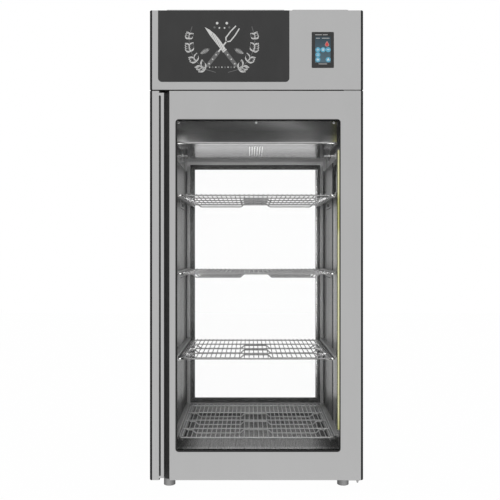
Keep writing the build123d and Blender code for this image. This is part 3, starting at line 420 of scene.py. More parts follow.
otherLooks = {
    "zincSheet": (zincSheet, dict(level=0.4, roughness=0.45)),
    "drawnShelfWire": (drawnWire, dict(level=0.70, roughness=0.42, edge=0.25, share=0.64)),
    "clearPaneGlass": (clearGlass, dict(colour=(0.80, 0.82, 0.81), facing=0.012, grazing=0.6)),
    "warmDiffuser": (warmDiffuser, dict(pale=(0.50, 0.495, 0.29), yellow=(0.33, 0.325, 0.12), strength=0.53)),
    "coverSatinGrey": (coverFront, {}),
    "coilFins": (finnedBlock, dict(pitch=0.004)),
    "drawnCopper": (copperPipe, dict(tarnished=(0.42, 0.20, 0.12), bright=(0.78, 0.42, 0.27))),
    "screenBlue": (screenPanel, dict(top=(0.040, 0.066, 0.085), bottom=(0.100, 0.168, 0.210))),
}
for maker, table in ((brushedSteel, steelLooks), (mouldedPlastic, plasticLooks), (anodised, aluminiumLooks),
                     (printedInk, inkLooks)):
    for name, look in table.items():
        maker(name, **look)
for name, (maker, look) in otherLooks.items():
    maker(name, **look)
print("materials made")

carriedFinishes = {
    "linerSteel": "base",
    "wallLinerSteel": "ceiling side_wall_right side_wall_left",
    "rearWallSteel": "rear_wall",
    "satinFaceSteel": "mouth_frame fascia_panel roof_panel roof_covers door_skin door_core door_inner_frame",
    "satinSideSteel": "side_skins",
    "satinFloorSteel": "floor_tray",
    "rackPanelSteel": "rack_panels",
    "clearPaneGlass": "rear_panes door_panes",
    "glazingBarAluminium": "rear_glazing_bars",
    "rearTrimSteel": "rear_trim",
    "polishedPanSteel": "evaporator_cover",
    "motorBlack": "fan_plate fan_shroud evaporator_fan_left evaporator_fan_right condenser_fan",
    "coilFins": "evaporator_coil condenser",
    "bracketSteel": "cover_brackets",
    "channelAluminium": "light_channels",
    "warmDiffuser": "light_diffusers",
    "hingeSteel": "hinge_plates foot_plates",
    "edgeProfileBlack": "fascia_end_caps door_edges",
    "decorCharcoal": "decor_plate",
    "bezelCharcoal": "display_bezel",
    "screenBlue": "display_screen",
    "zincSheet": "casing_back unit_tray",
    "compressorEnamel": "compressor",
    "electricalBoxGrey": "electrical_box",
    "drawnCopper": "drier_and_pipes",
    "satinPullSteel": "door_handle",
    "troughBlack": "grip_trough hinge_bushes",
    "doorSillBlack": "door_spacers",
    "windowTrimBlack": "window_trim",
    "gasketRubber": "door_gasket",
    "runnerSteel": "runners_1 runners_2 runners_3 runners_4",
    "drawnShelfWire": "shelf_1 shelf_2 shelf_3 shelf_4",
    "footSteel": "foot_front_left foot_front_right foot_rear_left foot_rear_right",
}
for look, names in carriedFinishes.items():
    for name in names.split():
        mesh = nodes[name].data
        if not mesh.materials:
            mesh.materials.append(looks[look])
        for index in range(len(mesh.materials)):
            mesh.materials[index] = looks[look]
print("CAD nodes finished")


# mesh helpers

def meshPiece(name, bm, materials, node=None, body="cabinet", angle=35):
    mesh = bpy.data.meshes.new(name)
    bmesh.ops.recalc_face_normals(bm, faces=bm.faces)
    bm.to_mesh(mesh)
    bm.free()
    piece = newObject(name, mesh)
    for material in materials.split():
        mesh.materials.append(looks[material])
    mesh.set_sharp_from_angle(angle=math.radians(angle))
    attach(piece, body)
    if node:
        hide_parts(node)


# where an outline's own u, v and w lie in the frame
def facing(depth0):
    return lambda u, v, w: at(u, depth0 + w, v)


def level(z0):
    return lambda u, v, w: at(u, v, z0 + w)


def sideways(x0, side=1):
    return lambda u, v, w: at(side * (x0 + w), u, v)


def joinRings(bm, rings):
    for low, high in zip(rings, rings[1:]):
        count = len(low)
        for n in range(count):
            face = bm.faces.new((low[n], low[(n + 1) % count], high[(n + 1) % count], high[n]))
            face.smooth = True


# moves a closed outline to its left, so inwards where it runs counter-clockwise
def shiftOutline(points, distance):
    shifted = []
    for n, here in enumerate(points):
        before = points[n - 1]
        after = points[(n + 1) % len(points)]
        into = Vector((here[0] - before[0], here[1] - before[1])).normalized()
        out = Vector((after[0] - here[0], after[1] - here[1])).normalized()
        reach = distance / (1 + into.dot(out))
        shifted.append((here[0] - (into.y + out.y) * reach, here[1] + (into.x + out.x) * reach))
    return shifted


def roundedRim(edge, steps):
    angles = [math.radians(90 * n / steps) for n in range(steps + 1)]
    return [(edge * (1 - math.sin(angle)), edge * (1 - math.cos(angle))) for angle in angles]


# solid of one outline and its holes, all given counter-clockwise, with rounded edges at its first face;
# finish is the place of its material in the piece
def addPrism(bm, outlines, length, place, edge=0.0, backEdge=0.0, steps=3, finish=0):
    known = set(bm.faces)
    levels = roundedRim(edge, steps) if edge > 0 else [(0, 0)]
    if backEdge > 0:
        levels += [(inset, length - w) for inset, w in reversed(roundedRim(backEdge, steps))]
    else:
        levels.append((0, length))
    ends = ([], [])
    for number, outline in enumerate(outlines):
        loop = list(outline) if number == 0 else list(reversed(outline))
        rings = []
        for inset, w in levels:
            shape = shiftOutline(loop, inset) if inset > 0 else loop
            rings.append([bm.verts.new(place(u, v, w)) for u, v in shape])
        joinRings(bm, rings)
        ends[0].append(rings[0])
        ends[1].append(rings[-1])
    for rings in ends:
        edges = [bm.edges.get((ring[n], ring[(n + 1) % len(ring)]))
                 for ring in rings for n in range(len(ring))]
        bmesh.ops.triangle_fill(bm, use_beauty=True, use_dissolve=False, edges=edges)
    made = [face for face in bm.faces if face not in known]
    for face in made:
        face.material_index = finish
    return made


def addPair(bm, outline, length, place, **rims):  # the same prism on both sides
    for side in (-1, 1):
        addPrism(bm, [onSide(outline, side)], length, place, **rims)


# turned solid: (radius, w) pairs along an axis through u0, v0
def addTurned(bm, u0, v0, profile, place, steps=32):
    rings = [[bm.verts.new(place(u, v, w)) for u, v in disc(u0, v0, radius, steps)] for radius, w in profile]
    joinRings(bm, rings)
    bm.faces.new(rings[0][::-1])
    bm.faces.new(rings[-1])


# closed rectangular frame of one section: (outward, depth) points about the frame's middle line
def addFrame(bm, x0, x1, z0, z1, section):
    corners = [(x0, z0, -1, -1), (x1, z0, 1, -1), (x1, z1, 1, 1), (x0, z1, -1, 1)]
    rings = [[bm.verts.new(at(x + sx * out, depth, z + sz * out)) for out, depth in section]
             for x, z, sx, sz in corners]
    joinRings(bm, rings + [rings[0]])


def box(u0, u1, v0, v1):
    return [(u0, v0), (u1, v0), (u1, v1), (u0, v1)]


# rectangle with rounded corners in the order lower left, lower right, upper right, upper left
def roundedBox(u0, u1, v0, v1, radii, steps=8):
    if not isinstance(radii, (list, tuple)):
        radii = [radii] * 4
    corners = [(u0, v0, 180, 1, 1), (u1, v0, 270, -1, 1), (u1, v1, 0, -1, -1), (u0, v1, 90, 1, -1)]
    points = []
    for (u, v, start, su, sv), radius in zip(corners, radii):
        if radius <= 0:
            points.append((u, v))
            continue
        for n in range(steps + 1):
            angle = math.radians(start + 90 * n / steps)
            points.append((u + su * radius + radius * math.cos(angle),
                           v + sv * radius + radius * math.sin(angle)))
    return points


def disc(u, v, radius, steps=32):
    return [(u + radius * math.cos(2 * math.pi * n / steps), v + radius * math.sin(2 * math.pi * n / steps))
            for n in range(steps)]


def onSide(outline, side):  # mirrors an outline to -X and keeps it counter-clockwise
    return outline if side > 0 else [(-u, v) for u, v in reversed(outline)]


# softens the corners of an open path
def bentPath(points, radius, steps=5):
    path = [points[0]]
    for before, here, after in zip(points, points[1:], points[2:]):
        into = (here - before).normalized()
        out = (after - here).normalized()
        turn = into.angle(out)
        if turn < 0.02:
            path.append(here)
            continue
        reach = min(radius * math.tan(turn / 2), (here - before).length * 0.45, (after - here).length * 0.45)
        start = here - into * reach
        end = here + out * reach
        for n in range(steps + 1):
            t = n / steps
            path.append(start * (1 - t) ** 2 + here * (2 * t * (1 - t)) + end * t ** 2)
    path.append(points[-1])
    return path


# section of a folded sheet: its middle line, given thickness, with bent corners
def foldedOutline(line, thickness, radius):
    path = bentPath([Vector(point) for point in line], radius)
    left, right = [], []
    for n, here in enumerate(path):
        into = (here - path[n - 1]).normalized() if n > 0 else (path[1] - here).normalized()
        out = (path[n + 1] - here).normalized() if n + 1 < len(path) else into
        reach = thickness / 2 / (1 + into.dot(out))
        sideStep = Vector((-(into.y + out.y), into.x + out.x)) * reach
        left.append(tuple(here + sideStep))
        right.append(tuple(here - sideStep))
    return right + left[::-1]


# ribbon of even width along a path, as one outline
def ribbon(points, width):
    return foldedOutline(points, width, width * 0.6)


def addScrew(bm, u, v, radius, place):  # low domed head standing proud towards -w
    profile = [(radius, 0.6), (radius, 0), (radius * 0.84, -radius * 0.2), (radius * 0.5, -radius * 0.28)]
    addTurned(bm, u, v, profile, place, 16)


# black edge profiles of the door and the fascia, each with one rounded outer corner
edgeForm = dict(inner=441, plain=0.4, corner=6, soft=0.35)


def edgeProfiles(name, node, body, roundCorner):
    _, x1, d0, d1, z0, z1 = limitsOf(node)
    radii = [edgeForm["plain"]] * 4
    radii[roundCorner] = edgeForm["corner"]
    outline = roundedBox(edgeForm["inner"], x1, z0, z1, radii)
    bm = bmesh.new()
    addPair(bm, outline, d1 - d0, facing(d0), edge=edgeForm["soft"])
    meshPiece(name, bm, "edgeProfileBlack", node, body=body)


edgeProfiles("doorEdgeProfiles", "door_edges", "door", 1)
edgeProfiles("fasciaEndProfiles", "fascia_end_caps", "cabinet", 2)


# pull: a flat strip with a long slot, and a lip folded back with a rounded nose
pullForm = dict(
    sheet=3, slotStart=28.5, slotWidth=8, slotLow=17.5, slotHigh=19, notchLow=8.5, notchHigh=8, nose=1.4,
    soft=0.4)


def pullProfile():
    x0, x1, _, d1, z0, z1 = limitsOf("door_handle")
    width, nose, soft = pullForm["slotWidth"], pullForm["nose"], pullForm["soft"]
    slotLeft = x0 + pullForm["slotStart"]
    low = z0 + pullForm["notchLow"]
    high = z1 - pullForm["notchHigh"]
    outline = [(x0, z0), (slotLeft, z0), (slotLeft, low), (x1, low), (x1, high), (slotLeft, high),
               (slotLeft, z1), (x0, z1)]
    slot = roundedBox(slotLeft, slotLeft + width, z0 + pullForm["slotLow"], z1 - pullForm["slotHigh"],
                      width / 2 - 0.1)
    bm = bmesh.new()
    addPrism(bm, [outline, slot], pullForm["sheet"], facing(0), edge=soft)
    lip = roundedBox(x1 - pullForm["sheet"], x1, 0.3, d1, [soft, nose, nose, nose])
    addPrism(bm, [lip], high - low - 0.4, level(low + 0.2))
    meshPiece("pullProfile", bm, "satinPullSteel", "door_handle", "door")


pullProfile()


# magnetic seal: foot, soft folds and a broad head
sealForm = dict(
    half=12, height=11.7,
    section=[(-8, 0), (8, 0), (8.4, 1.6), (5.6, 2.8), (5.6, 4.0), (10.6, 5.4), (12, 6.6), (12, 10.4),
        (11, 11.7), (-11, 11.7), (-12, 10.4), (-12, 6.6), (-10.6, 5.4), (-5.6, 4.0), (-5.6, 2.8),
        (-8.4, 1.6)])


def bellowsSeal():
    x0, x1, _, d1, z0, z1 = limitsOf("door_gasket")
    half = sealForm["half"]
    section = [(out, d1 - sealForm["height"] + depth) for out, depth in sealForm["section"]]
    bm = bmesh.new()
    addFrame(bm, x0 + half, x1 - half, z0 + half, z1 - half, section)
    meshPiece("bellowsSeal", bm, "gasketRubber", "door_gasket", "door", 50)


bellowsSeal()


# black trim round the window: a thin lip in front and a flange behind the door sheet
trimForm = dict(
    corner=14, leftLip=7.8, lip=6.5, thinLip=3.8, fit=0.3, flange=11.7, front=0.4, lipSheet=1.6, back=1.25,
    backSheet=1.7)


def windowTrim():
    x0, x1, _, _, z0, z1 = limitsOf("window_trim")
    flange = trimForm["flange"]

    def inside(left, right, low, high, corner):
        return roundedBox(x0 + left, x1 - right, z0 + low, z1 - high, corner)

    thin = flange + trimForm["thinLip"]
    inner = inside(flange + trimForm["leftLip"], thin, flange + trimForm["lip"], thin,
                   trimForm["corner"] - trimForm["lip"])
    lip = inside(*[flange + trimForm["fit"]] * 4, trimForm["corner"])
    bm = bmesh.new()
    addPrism(bm, [lip, inner], trimForm["lipSheet"], facing(trimForm["front"]), edge=0.25)
    addPrism(bm, [inside(0, 0, 0, 0, 2), inner], trimForm["backSheet"], facing(trimForm["back"]))
    meshPiece("windowTrimLip", bm, "windowTrimBlack", "window_trim", "door")


windowTrim()


# each pane is one clear sheet at the middle of its thickness, its edges hidden in the bars
paneForm = dict(thickness=4, corner=3)


def paneSheets(name, node, body):
    x0, x1, d0, d1, z0, z1 = limitsOf(node)
    half = paneForm["thickness"] / 2
    bm = bmesh.new()
    for depth in (d0 + half, d1 - half):
        outline = roundedBox(x0, x1, z0, z1, paneForm["corner"], 4)
        bm.faces.new([bm.verts.new(at(x, depth, z)) for x, z in outline])
    meshPiece(name, bm, "clearPaneGlass", node, body)


paneSheets("doorPaneSheets", "door_panes", "door")
paneSheets("rearPaneSheets", "rear_panes", "cabinet")
print("door trimmed and glazed")


# evaporator housing: front sheet, round bend and polished pan with six pressed ribs
housingForm = dict(
    sheet=1.2, bend=8, flange=16, ribs=6, ribPitch=11.7, ribWidth=5, ribHeight=3, ribFront=179, ribBack=506,
    screws=(-341, 0, 341), screwHeight=1583, screw=5.4)


def evaporatorHousing():
    x0, x1, d0, d1, z0, z1 = limitsOf("evaporator_cover")
    bottom = z0 + housingForm["ribHeight"]
    sheet, bend = housingForm["sheet"], housingForm["bend"]
    half = sheet / 2
    line = [(d1, bottom + half), (d0 + half, bottom + half), (d0 + half, z1 - half),
            (d0 + housingForm["flange"], z1 - half)]
    bm = bmesh.new()
    addPrism(bm, [foldedOutline(line, sheet, bend - half)], x1 - x0, sideways(x0))
    for start in (x0, x1 - sheet):
        addPrism(bm, [roundedBox(d0, d1, bottom, z1, [bend, 0, 0, 0])], sheet, sideways(start))
    reach = housingForm["ribWidth"] / 2
    # ribs in a brighter steel: painted highlights
    for n in range(housingForm["ribs"]):
        x = (n - (housingForm["ribs"] - 1) / 2) * housingForm["ribPitch"]
        rib = roundedBox(x - reach, x + reach, housingForm["ribFront"], housingForm["ribBack"], reach - 0.1)
        addPrism(bm, [rib], housingForm["ribHeight"] + 0.4, level(z0), edge=reach - 0.4, steps=4, finish=2)
    # the front faces take the cover's satin grey with its painted light
    for face in bm.faces:
        middle = face.calc_center_median()
        if middle.z > mm(bottom + bend) and middle.y < at(0, d0 + 2, 0).y:
            face.material_index = 1
    meshPiece("evaporatorHousing", bm, "polishedPanSteel coverSatinGrey pressedRibSteel", "evaporator_cover",
              angle=40)
    bm = bmesh.new()
    for x in housingForm["screws"]:
        addScrew(bm, x, housingForm["screwHeight"], housingForm["screw"], facing(d0))
    meshPiece("housingScrews", bm, "screwSteel")


evaporatorHousing()


# light strips: an angled channel in painted shade and a milky cover with a rounded nose
stripForm = dict(sheet=2, bend=1.5, nose=4, channelInner=350.6, coverWidth=20.1, soft=0.6)


def lightStrips():
    _, wall, d0, d1, z0, z1 = limitsOf("light_channels")
    _, coverEnd, front, back, low, high = limitsOf("light_diffusers")
    sheet, soft = stripForm["sheet"], stripForm["soft"]
    half = sheet / 2
    line = [(wall - half, d0), (wall - half, d1 - half), (stripForm["channelInner"], d1 - half)]
    section = foldedOutline(line, sheet, stripForm["bend"])
    cover = roundedBox(wall - stripForm["coverWidth"], coverEnd, front, back, [stripForm["nose"], 1, 0, 0])
    bm = bmesh.new()
    addPair(bm, section, z1 - z0, level(z0))
    meshPiece("lightChannels", bm, "channelAluminium", "light_channels")
    bm = bmesh.new()
    addPair(bm, cover, high - low, level(low), edge=soft, backEdge=soft)
    meshPiece("lightDiffusers", bm, "warmDiffuser", "light_diffusers")


lightStrips()
print("housing and light strips made")


# rack panels: a front post in a lighter steel for painted light, a slit beside it on the right with a black
# floor for painted shade, and the dull rear sheet with its slots
rackForm = dict(
    standOff=8, postEnd=358, slitEnd=403, slitDepth=6, recess=0.6, slotWidth=6, slotHeight=22, slotDrop=1,
    hooks=(180, 525), bead=(262, 284), beadHeight=0.5)
shelfTop = 7.55  # from the middle of a shelf's rim to the top of its depth wires
shelfLevels = [limitsOf(f"shelf_{number}")[5] - shelfTop for number in range(1, 5)]
slotLevels = shelfLevels + [(upper + lower) / 2 for upper, lower in zip(shelfLevels, shelfLevels[1:])]


def rackSlots(start, end):
    half = rackForm["slotWidth"] / 2
    tops = [height - rackForm["slotDrop"] for height in slotLevels]
    return [roundedBox(hook - half, hook + half, top - rackForm["slotHeight"], top, 1.5, 3)
            for top in tops for hook in rackForm["hooks"] if start < hook < end]


def rackPanels():
    _, wall, d0, d1, z0, z1 = limitsOf("rack_panels")
    face = wall - rackForm["standOff"]
    postEnd, slitEnd, slitFace = rackForm["postEnd"], rackForm["slitEnd"], face + rackForm["slitDepth"]
    for side, label in ((-1, "Left"), (1, "Right")):
        bm = bmesh.new()
        bands = [(d0, d1, 0, 1)]
        if side > 0:
            bands = [(d0, postEnd, 0, 0), (slitEnd, d1, rackForm["recess"], 1)]
            # the slit's black floor is painted shade
            addPrism(bm, [box(postEnd, slitEnd, z0, z1)], wall - slitFace, sideways(slitFace), finish=2)
        for start, end, recess, finish in bands:
            surface = face + recess
            outlines = [roundedBox(start, end, z0, z1, 1.2, 3)] + rackSlots(start, end)
            made = addPrism(bm, outlines, wall - surface, sideways(surface, side), edge=0.8, finish=finish)
            # the rear sheet's edge facing the slit is black: painted shade
            for sheetFace in made:
                if finish and side > 0 and sheetFace.calc_center_median().y < at(0, start + 0.5, 0).y:
                    sheetFace.material_index = 2
        # a low strip of the darker panel steel down the post: a painted shade line
        if side > 0:
            rise = rackForm["beadHeight"]
            addPrism(bm, [box(*rackForm["bead"], z0, z1)], rise, sideways(face - rise), finish=1)
        meshPiece(f"rackPanel{label}", bm, "rackPostSteel rackPanelSteel windowTrimBlack",
                  "rack_panels" if side > 0 else None)


rackPanels()


# dark bead up each rear corner, between the rack panel and the rear wall: painted shade for the gap there
cornerShadeForm = dict(width=5, depth=3, inWall=7.5, behind=2, corner=2.5)


def cornerShadeBeads():
    _, x1, _, d1, z0, z1 = limitsOf("rack_panels")
    wall = x1 - rackForm["standOff"]
    back = d1 + cornerShadeForm["behind"]
    bead = roundedBox(wall - cornerShadeForm["width"], wall + cornerShadeForm["inWall"], back - cornerShadeForm["depth"], back,
                      [cornerShadeForm["corner"], 0, 0, 0], 4)
    bm = bmesh.new()
    addPair(bm, bead, z1 - z0, level(z0), edge=0.4)
    meshPiece("cornerShadeBeads", bm, "gasketRubber")


cornerShadeBeads()


# flat black sensor cover on the right wall, over the top shelf
sensorForm = dict(place=(256, 366, 1280, 1416), corner=4, sheet=2)


def sensorCover():
    wall = limitsOf("rack_panels")[1] - rackForm["standOff"]
    bm = bmesh.new()
    addPrism(bm, [roundedBox(*sensorForm["place"], sensorForm["corner"], 5)], sensorForm["sheet"],
             sideways(wall - sensorForm["sheet"]), edge=0.6)
    meshPiece("sensorCover", bm, "doorSillBlack")


sensorCover()


# runners: a folded strip with hanging tabs, and behind them a deep web with an oblong opening; dark sheets
# behind the opening and under the web are painted shade
runnerForm = dict(
    sheet=1.5, wall=367, guide=343, rise=8, rest=3.8, reach=21, lip=9, bend=2.2, tabWidth=22, tabDrop=28,
    hooks=(180, 525), web=(448, 670), webDrop=31, opening=(492, 608), openingTop=7, openingHeight=15,
    dark=0.4, shadow=3, stopWidth=12, stopHeight=6)


def runnerPair(number):
    _, _, d0, d1, _, _ = limitsOf(f"runners_{number}")
    height = shelfLevels[number - 1]
    sheet, wall, guide, dark = (runnerForm[key] for key in ("sheet", "wall", "guide", "dark"))
    top = height + runnerForm["rise"]
    ledge = height - runnerForm["rest"]
    inner = guide - runnerForm["reach"]
    foot = height - runnerForm["webDrop"]
    half = sheet / 2
    line = [(wall, top - half), (guide + half, top - half), (guide + half, ledge - half),
            (inner + half, ledge - half), (inner + half, ledge - runnerForm["lip"])]
    section = foldedOutline(line, sheet, runnerForm["bend"])
    reach = runnerForm["tabWidth"] / 2
    webStart, webEnd = runnerForm["web"]
    web = roundedBox(webStart, webEnd, foot, top - half, [4, 4, 0, 0], 4)
    holeTop = height - runnerForm["openingTop"]
    opening = roundedBox(*runnerForm["opening"], holeTop - runnerForm["openingHeight"], holeTop, 5, 4)
    shadow = box(webStart + 4, webEnd - 4, foot - runnerForm["shadow"], foot - 0.2)
    stop = roundedBox(guide, guide + runnerForm["stopWidth"], top - sheet, top + runnerForm["stopHeight"],
                      [0, 0, 2, 2], 4)
    bm = bmesh.new()
    addPair(bm, section, d1 - d0, facing(d0))
    addPair(bm, stop, sheet, facing(d0), edge=0.3)
    for side in (-1, 1):
        againstWall = sideways(wall - sheet, side)
        for hook in runnerForm["hooks"]:
            tab = roundedBox(hook - reach, hook + reach, top - runnerForm["tabDrop"], top, [3, 3, 0, 0], 4)
            addPrism(bm, [tab], sheet, againstWall, edge=0.3)
        addPrism(bm, [web, opening], sheet, againstWall, edge=0.3)
        # dark sheets of painted shade behind the opening and under the web
        for outline in (opening, shadow):
            addPrism(bm, [outline], dark, sideways(wall - dark - 0.05, side), finish=1)
    meshPiece(f"runnerPair{number}", bm, "runnerSteel doorSillBlack", f"runners_{number}")


for number in range(1, 5):
    runnerPair(number)
print("racks and runners made")


# wire shelves: every wire a round rod, the rim and the stiffeners bent smoothly
shelfForm = dict(
    corner=11, rimWire=7, crossWire=6, depthWire=4, wires=32, margin=12.5, dip=15, flat=56, dipStart=72,
    dipEndIn=62, outerFlatIn=46, stiffenerIn=19, gap=0.05, past=3.3)


def addRod(curve, points, diameter, closed=False):
    spline = curve.splines.new("POLY")
    spline.points.add(len(points) - 1)
    for point, place in zip(spline.points, points):
        point.co = (*place, 1)
        point.radius = diameter / 2
    spline.use_cyclic_u = closed


def wireMesh(curve):  # rods swept round along a curve object's splines
    holder = newObject("rodHolder", curve)
    bpy.context.view_layer.update()
    mesh = bpy.data.meshes.new_from_object(holder.evaluated_get(bpy.context.evaluated_depsgraph_get()))
    bm = bmesh.new()
    bm.from_mesh(mesh)
    bmesh.ops.remove_doubles(bm, verts=bm.verts, dist=0.000002)
    for face in bm.faces:
        face.smooth = True
    bpy.data.objects.remove(holder)
    bpy.data.curves.remove(curve)
    bpy.data.meshes.remove(mesh)
    return bm


def wireShelf(number):
    shelf = f"shelf_{number}"
    _, x1, d0, d1, _, _ = limitsOf(shelf)
    height = shelfLevels[number - 1]
    rim, cross, count = shelfForm["rimWire"], shelfForm["crossWire"], shelfForm["wires"]
    half = x1 - rim / 2
    front = d0 + rim / 2
    back = d1 - rim / 2
    curve = bpy.data.curves.new(f"shelfWires{number}", "CURVE")
    curve.dimensions = "3D"
    curve.bevel_depth = 0.001
    curve.bevel_resolution = 3
    curve.use_fill_caps = True
    outline = roundedBox(-half, half, front, back, shelfForm["corner"], 6)
    addRod(curve, [at(x, depth, height) for x, depth in outline], rim, closed=True)
    railHalf = half - rim / 2
    high = height - cross - shelfForm["gap"]
    low = high - shelfForm["dip"]
    turns = [(-half + shelfForm["stiffenerIn"], high), (-half + shelfForm["outerFlatIn"], high),
             (-half + shelfForm["dipEndIn"], low), (-shelfForm["dipStart"], low), (-shelfForm["flat"], high)]
    turns += [(-x, z) for x, z in reversed(turns)]
    for n in range(1, 4):
        depth = front + (back - front) * n / 4
        addRod(curve, [at(-railHalf, depth, height), at(railHalf, depth, height)], cross)
        addRod(curve, bentPath([at(x, depth, z) for x, z in turns], mm(12)), cross)
    top = height + rim / 2 + shelfForm["depthWire"] / 2
    pitch = 2 * (half - shelfForm["margin"]) / (count - 1)
    for n in range(count):
        x = (n - (count - 1) / 2) * pitch
        addRod(curve, [at(x, front - shelfForm["past"], top), at(x, back + shelfForm["past"], top)],
               shelfForm["depthWire"])
    meshPiece(f"wireShelf{number}", wireMesh(curve), "drawnShelfWire", shelf, shelf, 50)


for number in range(1, 5):
    wireShelf(number)
print("shelves made")


# levelling feet: a cup with a soft rim, a six-sided nut and the stud
footForm = dict(cup=25, cupHeight=32, soft=2.5, nut=12, nutTop=46.6, stud=6)


def levellingFoot(place):
    foot = f"foot_{place}"
    x0, x1, d0, d1, _, z1 = limitsOf(foot)
    x = (x0 + x1) / 2
    depth = (d0 + d1) / 2
    cup, height, soft, stud = footForm["cup"], footForm["cupHeight"], footForm["soft"], footForm["stud"]
    profile = [(cup - 1.5, 0), (cup, 1.2), (cup, height - soft)]
    for n in range(1, 6):
        angle = math.radians(90 * n / 5)
        profile.append((cup - soft + soft * math.cos(angle), height - soft + soft * math.sin(angle)))
    profile.append((stud + 1, height + 0.4))
    bm = bmesh.new()
    addTurned(bm, x, depth, profile, level(0), 48)
    addPrism(bm, [disc(x, depth, footForm["nut"], 6)], footForm["nutTop"] - height + 0.5, level(height - 0.2),
             edge=0.8, backEdge=0.8)
    addTurned(bm, x, depth, [(stud, height - 1), (stud, z1 - 1), (stud - 1, z1)], level(0), 24)
    meshPiece(f"levellingFoot_{place}", bm, "footSteel", foot, foot)


for place in ("front_left", "front_right", "rear_left", "rear_right"):
    levellingFoot(place)
print("feet made")


# decor plate with a printed kitchen motif: a knife and a fork crossed between two leafy sprigs
decorForm = dict(corner=17, front=0.2, middle=(-146, 1880), tilt=38)


def turned(points, angle, middle=(0, 0)):
    turn = math.radians(angle)
    return [(middle[0] + u * math.cos(turn) - v * math.sin(turn),
             middle[1] + u * math.sin(turn) + v * math.cos(turn)) for u, v in points]


def addInk(bm, outline, finish, depth=0.04):  # a smaller depth lies nearer the front
    addPrism(bm, [outline], decorForm["front"] - depth, facing(depth), finish=finish)


def knifeAndFork(bm):
    tilt = decorForm["tilt"]

    def ink(outline, lean, finish, depth):
        addInk(bm, turned(outline, lean, decorForm["middle"]), finish, depth)

    blade = [(-9, -14), (9, -14), (12, 30), (11, 62), (4, 92), (-5, 112), (-9, 70)]
    handle = roundedBox(-8, 8, -104, -22, [7, 7, 3, 3], 5)
    ink(blade, tilt, 0, 0.04)
    ink(handle, tilt, 1, 0.06)
    ink(box(-10, 10, -21, -15), tilt, 0, 0.04)
    for n in range(9):  # engraved lines along the blade
        low = -8 + n * 9
        ink(ribbon([(-6, low), (4 + n * 0.4, low + 7)], 1.6), tilt, 1, 0.02)
    ink(handle, -tilt, 1, 0.05)
    ink(ribbon([(0, -24), (0, 10), (0, 34)], 6), -tilt, 0, 0.03)
    for side in (-1, 1):
        tine = [(0, 30), (side * 12, 42), (side * 12.5, 76), (side * 9, 108)]
        ink(ribbon(tine, 5), -tilt, 0, 0.03)
        for rivet in (-88, -64, -40):
            ink(disc(0, rivet, 3, 16), side * tilt, 0, 0.02)


def leaf(length, width, steps=8):
    points = []
    for n in range(steps + 1):
        t = n / steps
        points.append((-width / 2 * math.sin(math.pi * t) * (1.15 - 0.3 * t), length * t))
    return points + [(-u, v) for u, v in reversed(points[1:-1])]


def sprig(bm, side):
    x, z = decorForm["middle"]
    points = ((26, -106), (74, -92), (112, -56), (136, -8), (140, 42), (126, 88))
    stem = [(x + side * u, z + v) for u, v in points]
    smooth = bentPath([Vector(point) for point in stem], 60, 6)
    addInk(bm, ribbon(stem, 2.6), 1, 0.05)
    for number, spot in enumerate(range(3, len(smooth) - 1, 2)):
        here, after = smooth[spot], smooth[spot + 1]
        along = math.degrees(math.atan2(after.y - here.y, after.x - here.x)) - 90
        size = 34 - number * 1.1
        marks = [(leaf(size, 15), 0, 0.04), (ribbon([(0, 3), (0, size - 5)], 1.3), 1, 0.02)]
        for n in range(1, 5):  # short cuts from the vein outwards
            rise = size * n / 6 + 2
            marks += [(ribbon([(0, rise), (flank * 4.4, rise + 4)], 1.0), 1, 0.02) for flank in (-1, 1)]
        for lean in (-48, 48):
            for outline, finish, depth in marks:
                addInk(bm, turned(outline, along + lean, here), finish, depth)


def smallMotifs(bm):
    x, z = decorForm["middle"]
    for side in (-1, 1):
        for n, (u, v) in enumerate(((34, 84), (52, 66), (18, 64))):  # round berries between the tools
            addInk(bm, disc(x + side * u * 0.6, z + v + 18, 5.5 - n, 20), n % 2)
        spot = (x + side * 52, z - 6)
        addInk(bm, turned(leaf(46, 20), side * -118, spot), 1, 0.05)
        for start in range(8, 39, 6):
            cut = ribbon([(-5, start), (0, start + 4), (5, start)], 1.3)
            addInk(bm, turned(cut, side * -118, spot), 0, 0.03)
    for n in range(9):  # a row of lozenges under the tools
        u = x + (n - 4) * 13
        size = 4.6 if n % 2 else 3.2
        addInk(bm, [(u - size, z - 84), (u, z - 84 - size), (u + size, z - 84), (u, z - 84 + size)], n % 2)


def decorPlate():
    x0, x1, _, d1, z0, z1 = limitsOf("decor_plate")
    corner, front = decorForm["corner"], decorForm["front"]
    bm = bmesh.new()
    outline = roundedBox(x0, x1, z0, z1, [corner, corner, 0.3, 0.3])
    addPrism(bm, [outline], d1 - front, facing(front), edge=0.25)
    meshPiece("decorPlate", bm, "decorCharcoal", "decor_plate")
    bm = bmesh.new()
    sprig(bm, -1)
    sprig(bm, 1)
    knifeAndFork(bm)
    smallMotifs(bm)
    meshPiece("decorPrint", bm, "printPaleGrey printMiddleGrey")


decorPlate()
print("decor plate printed")


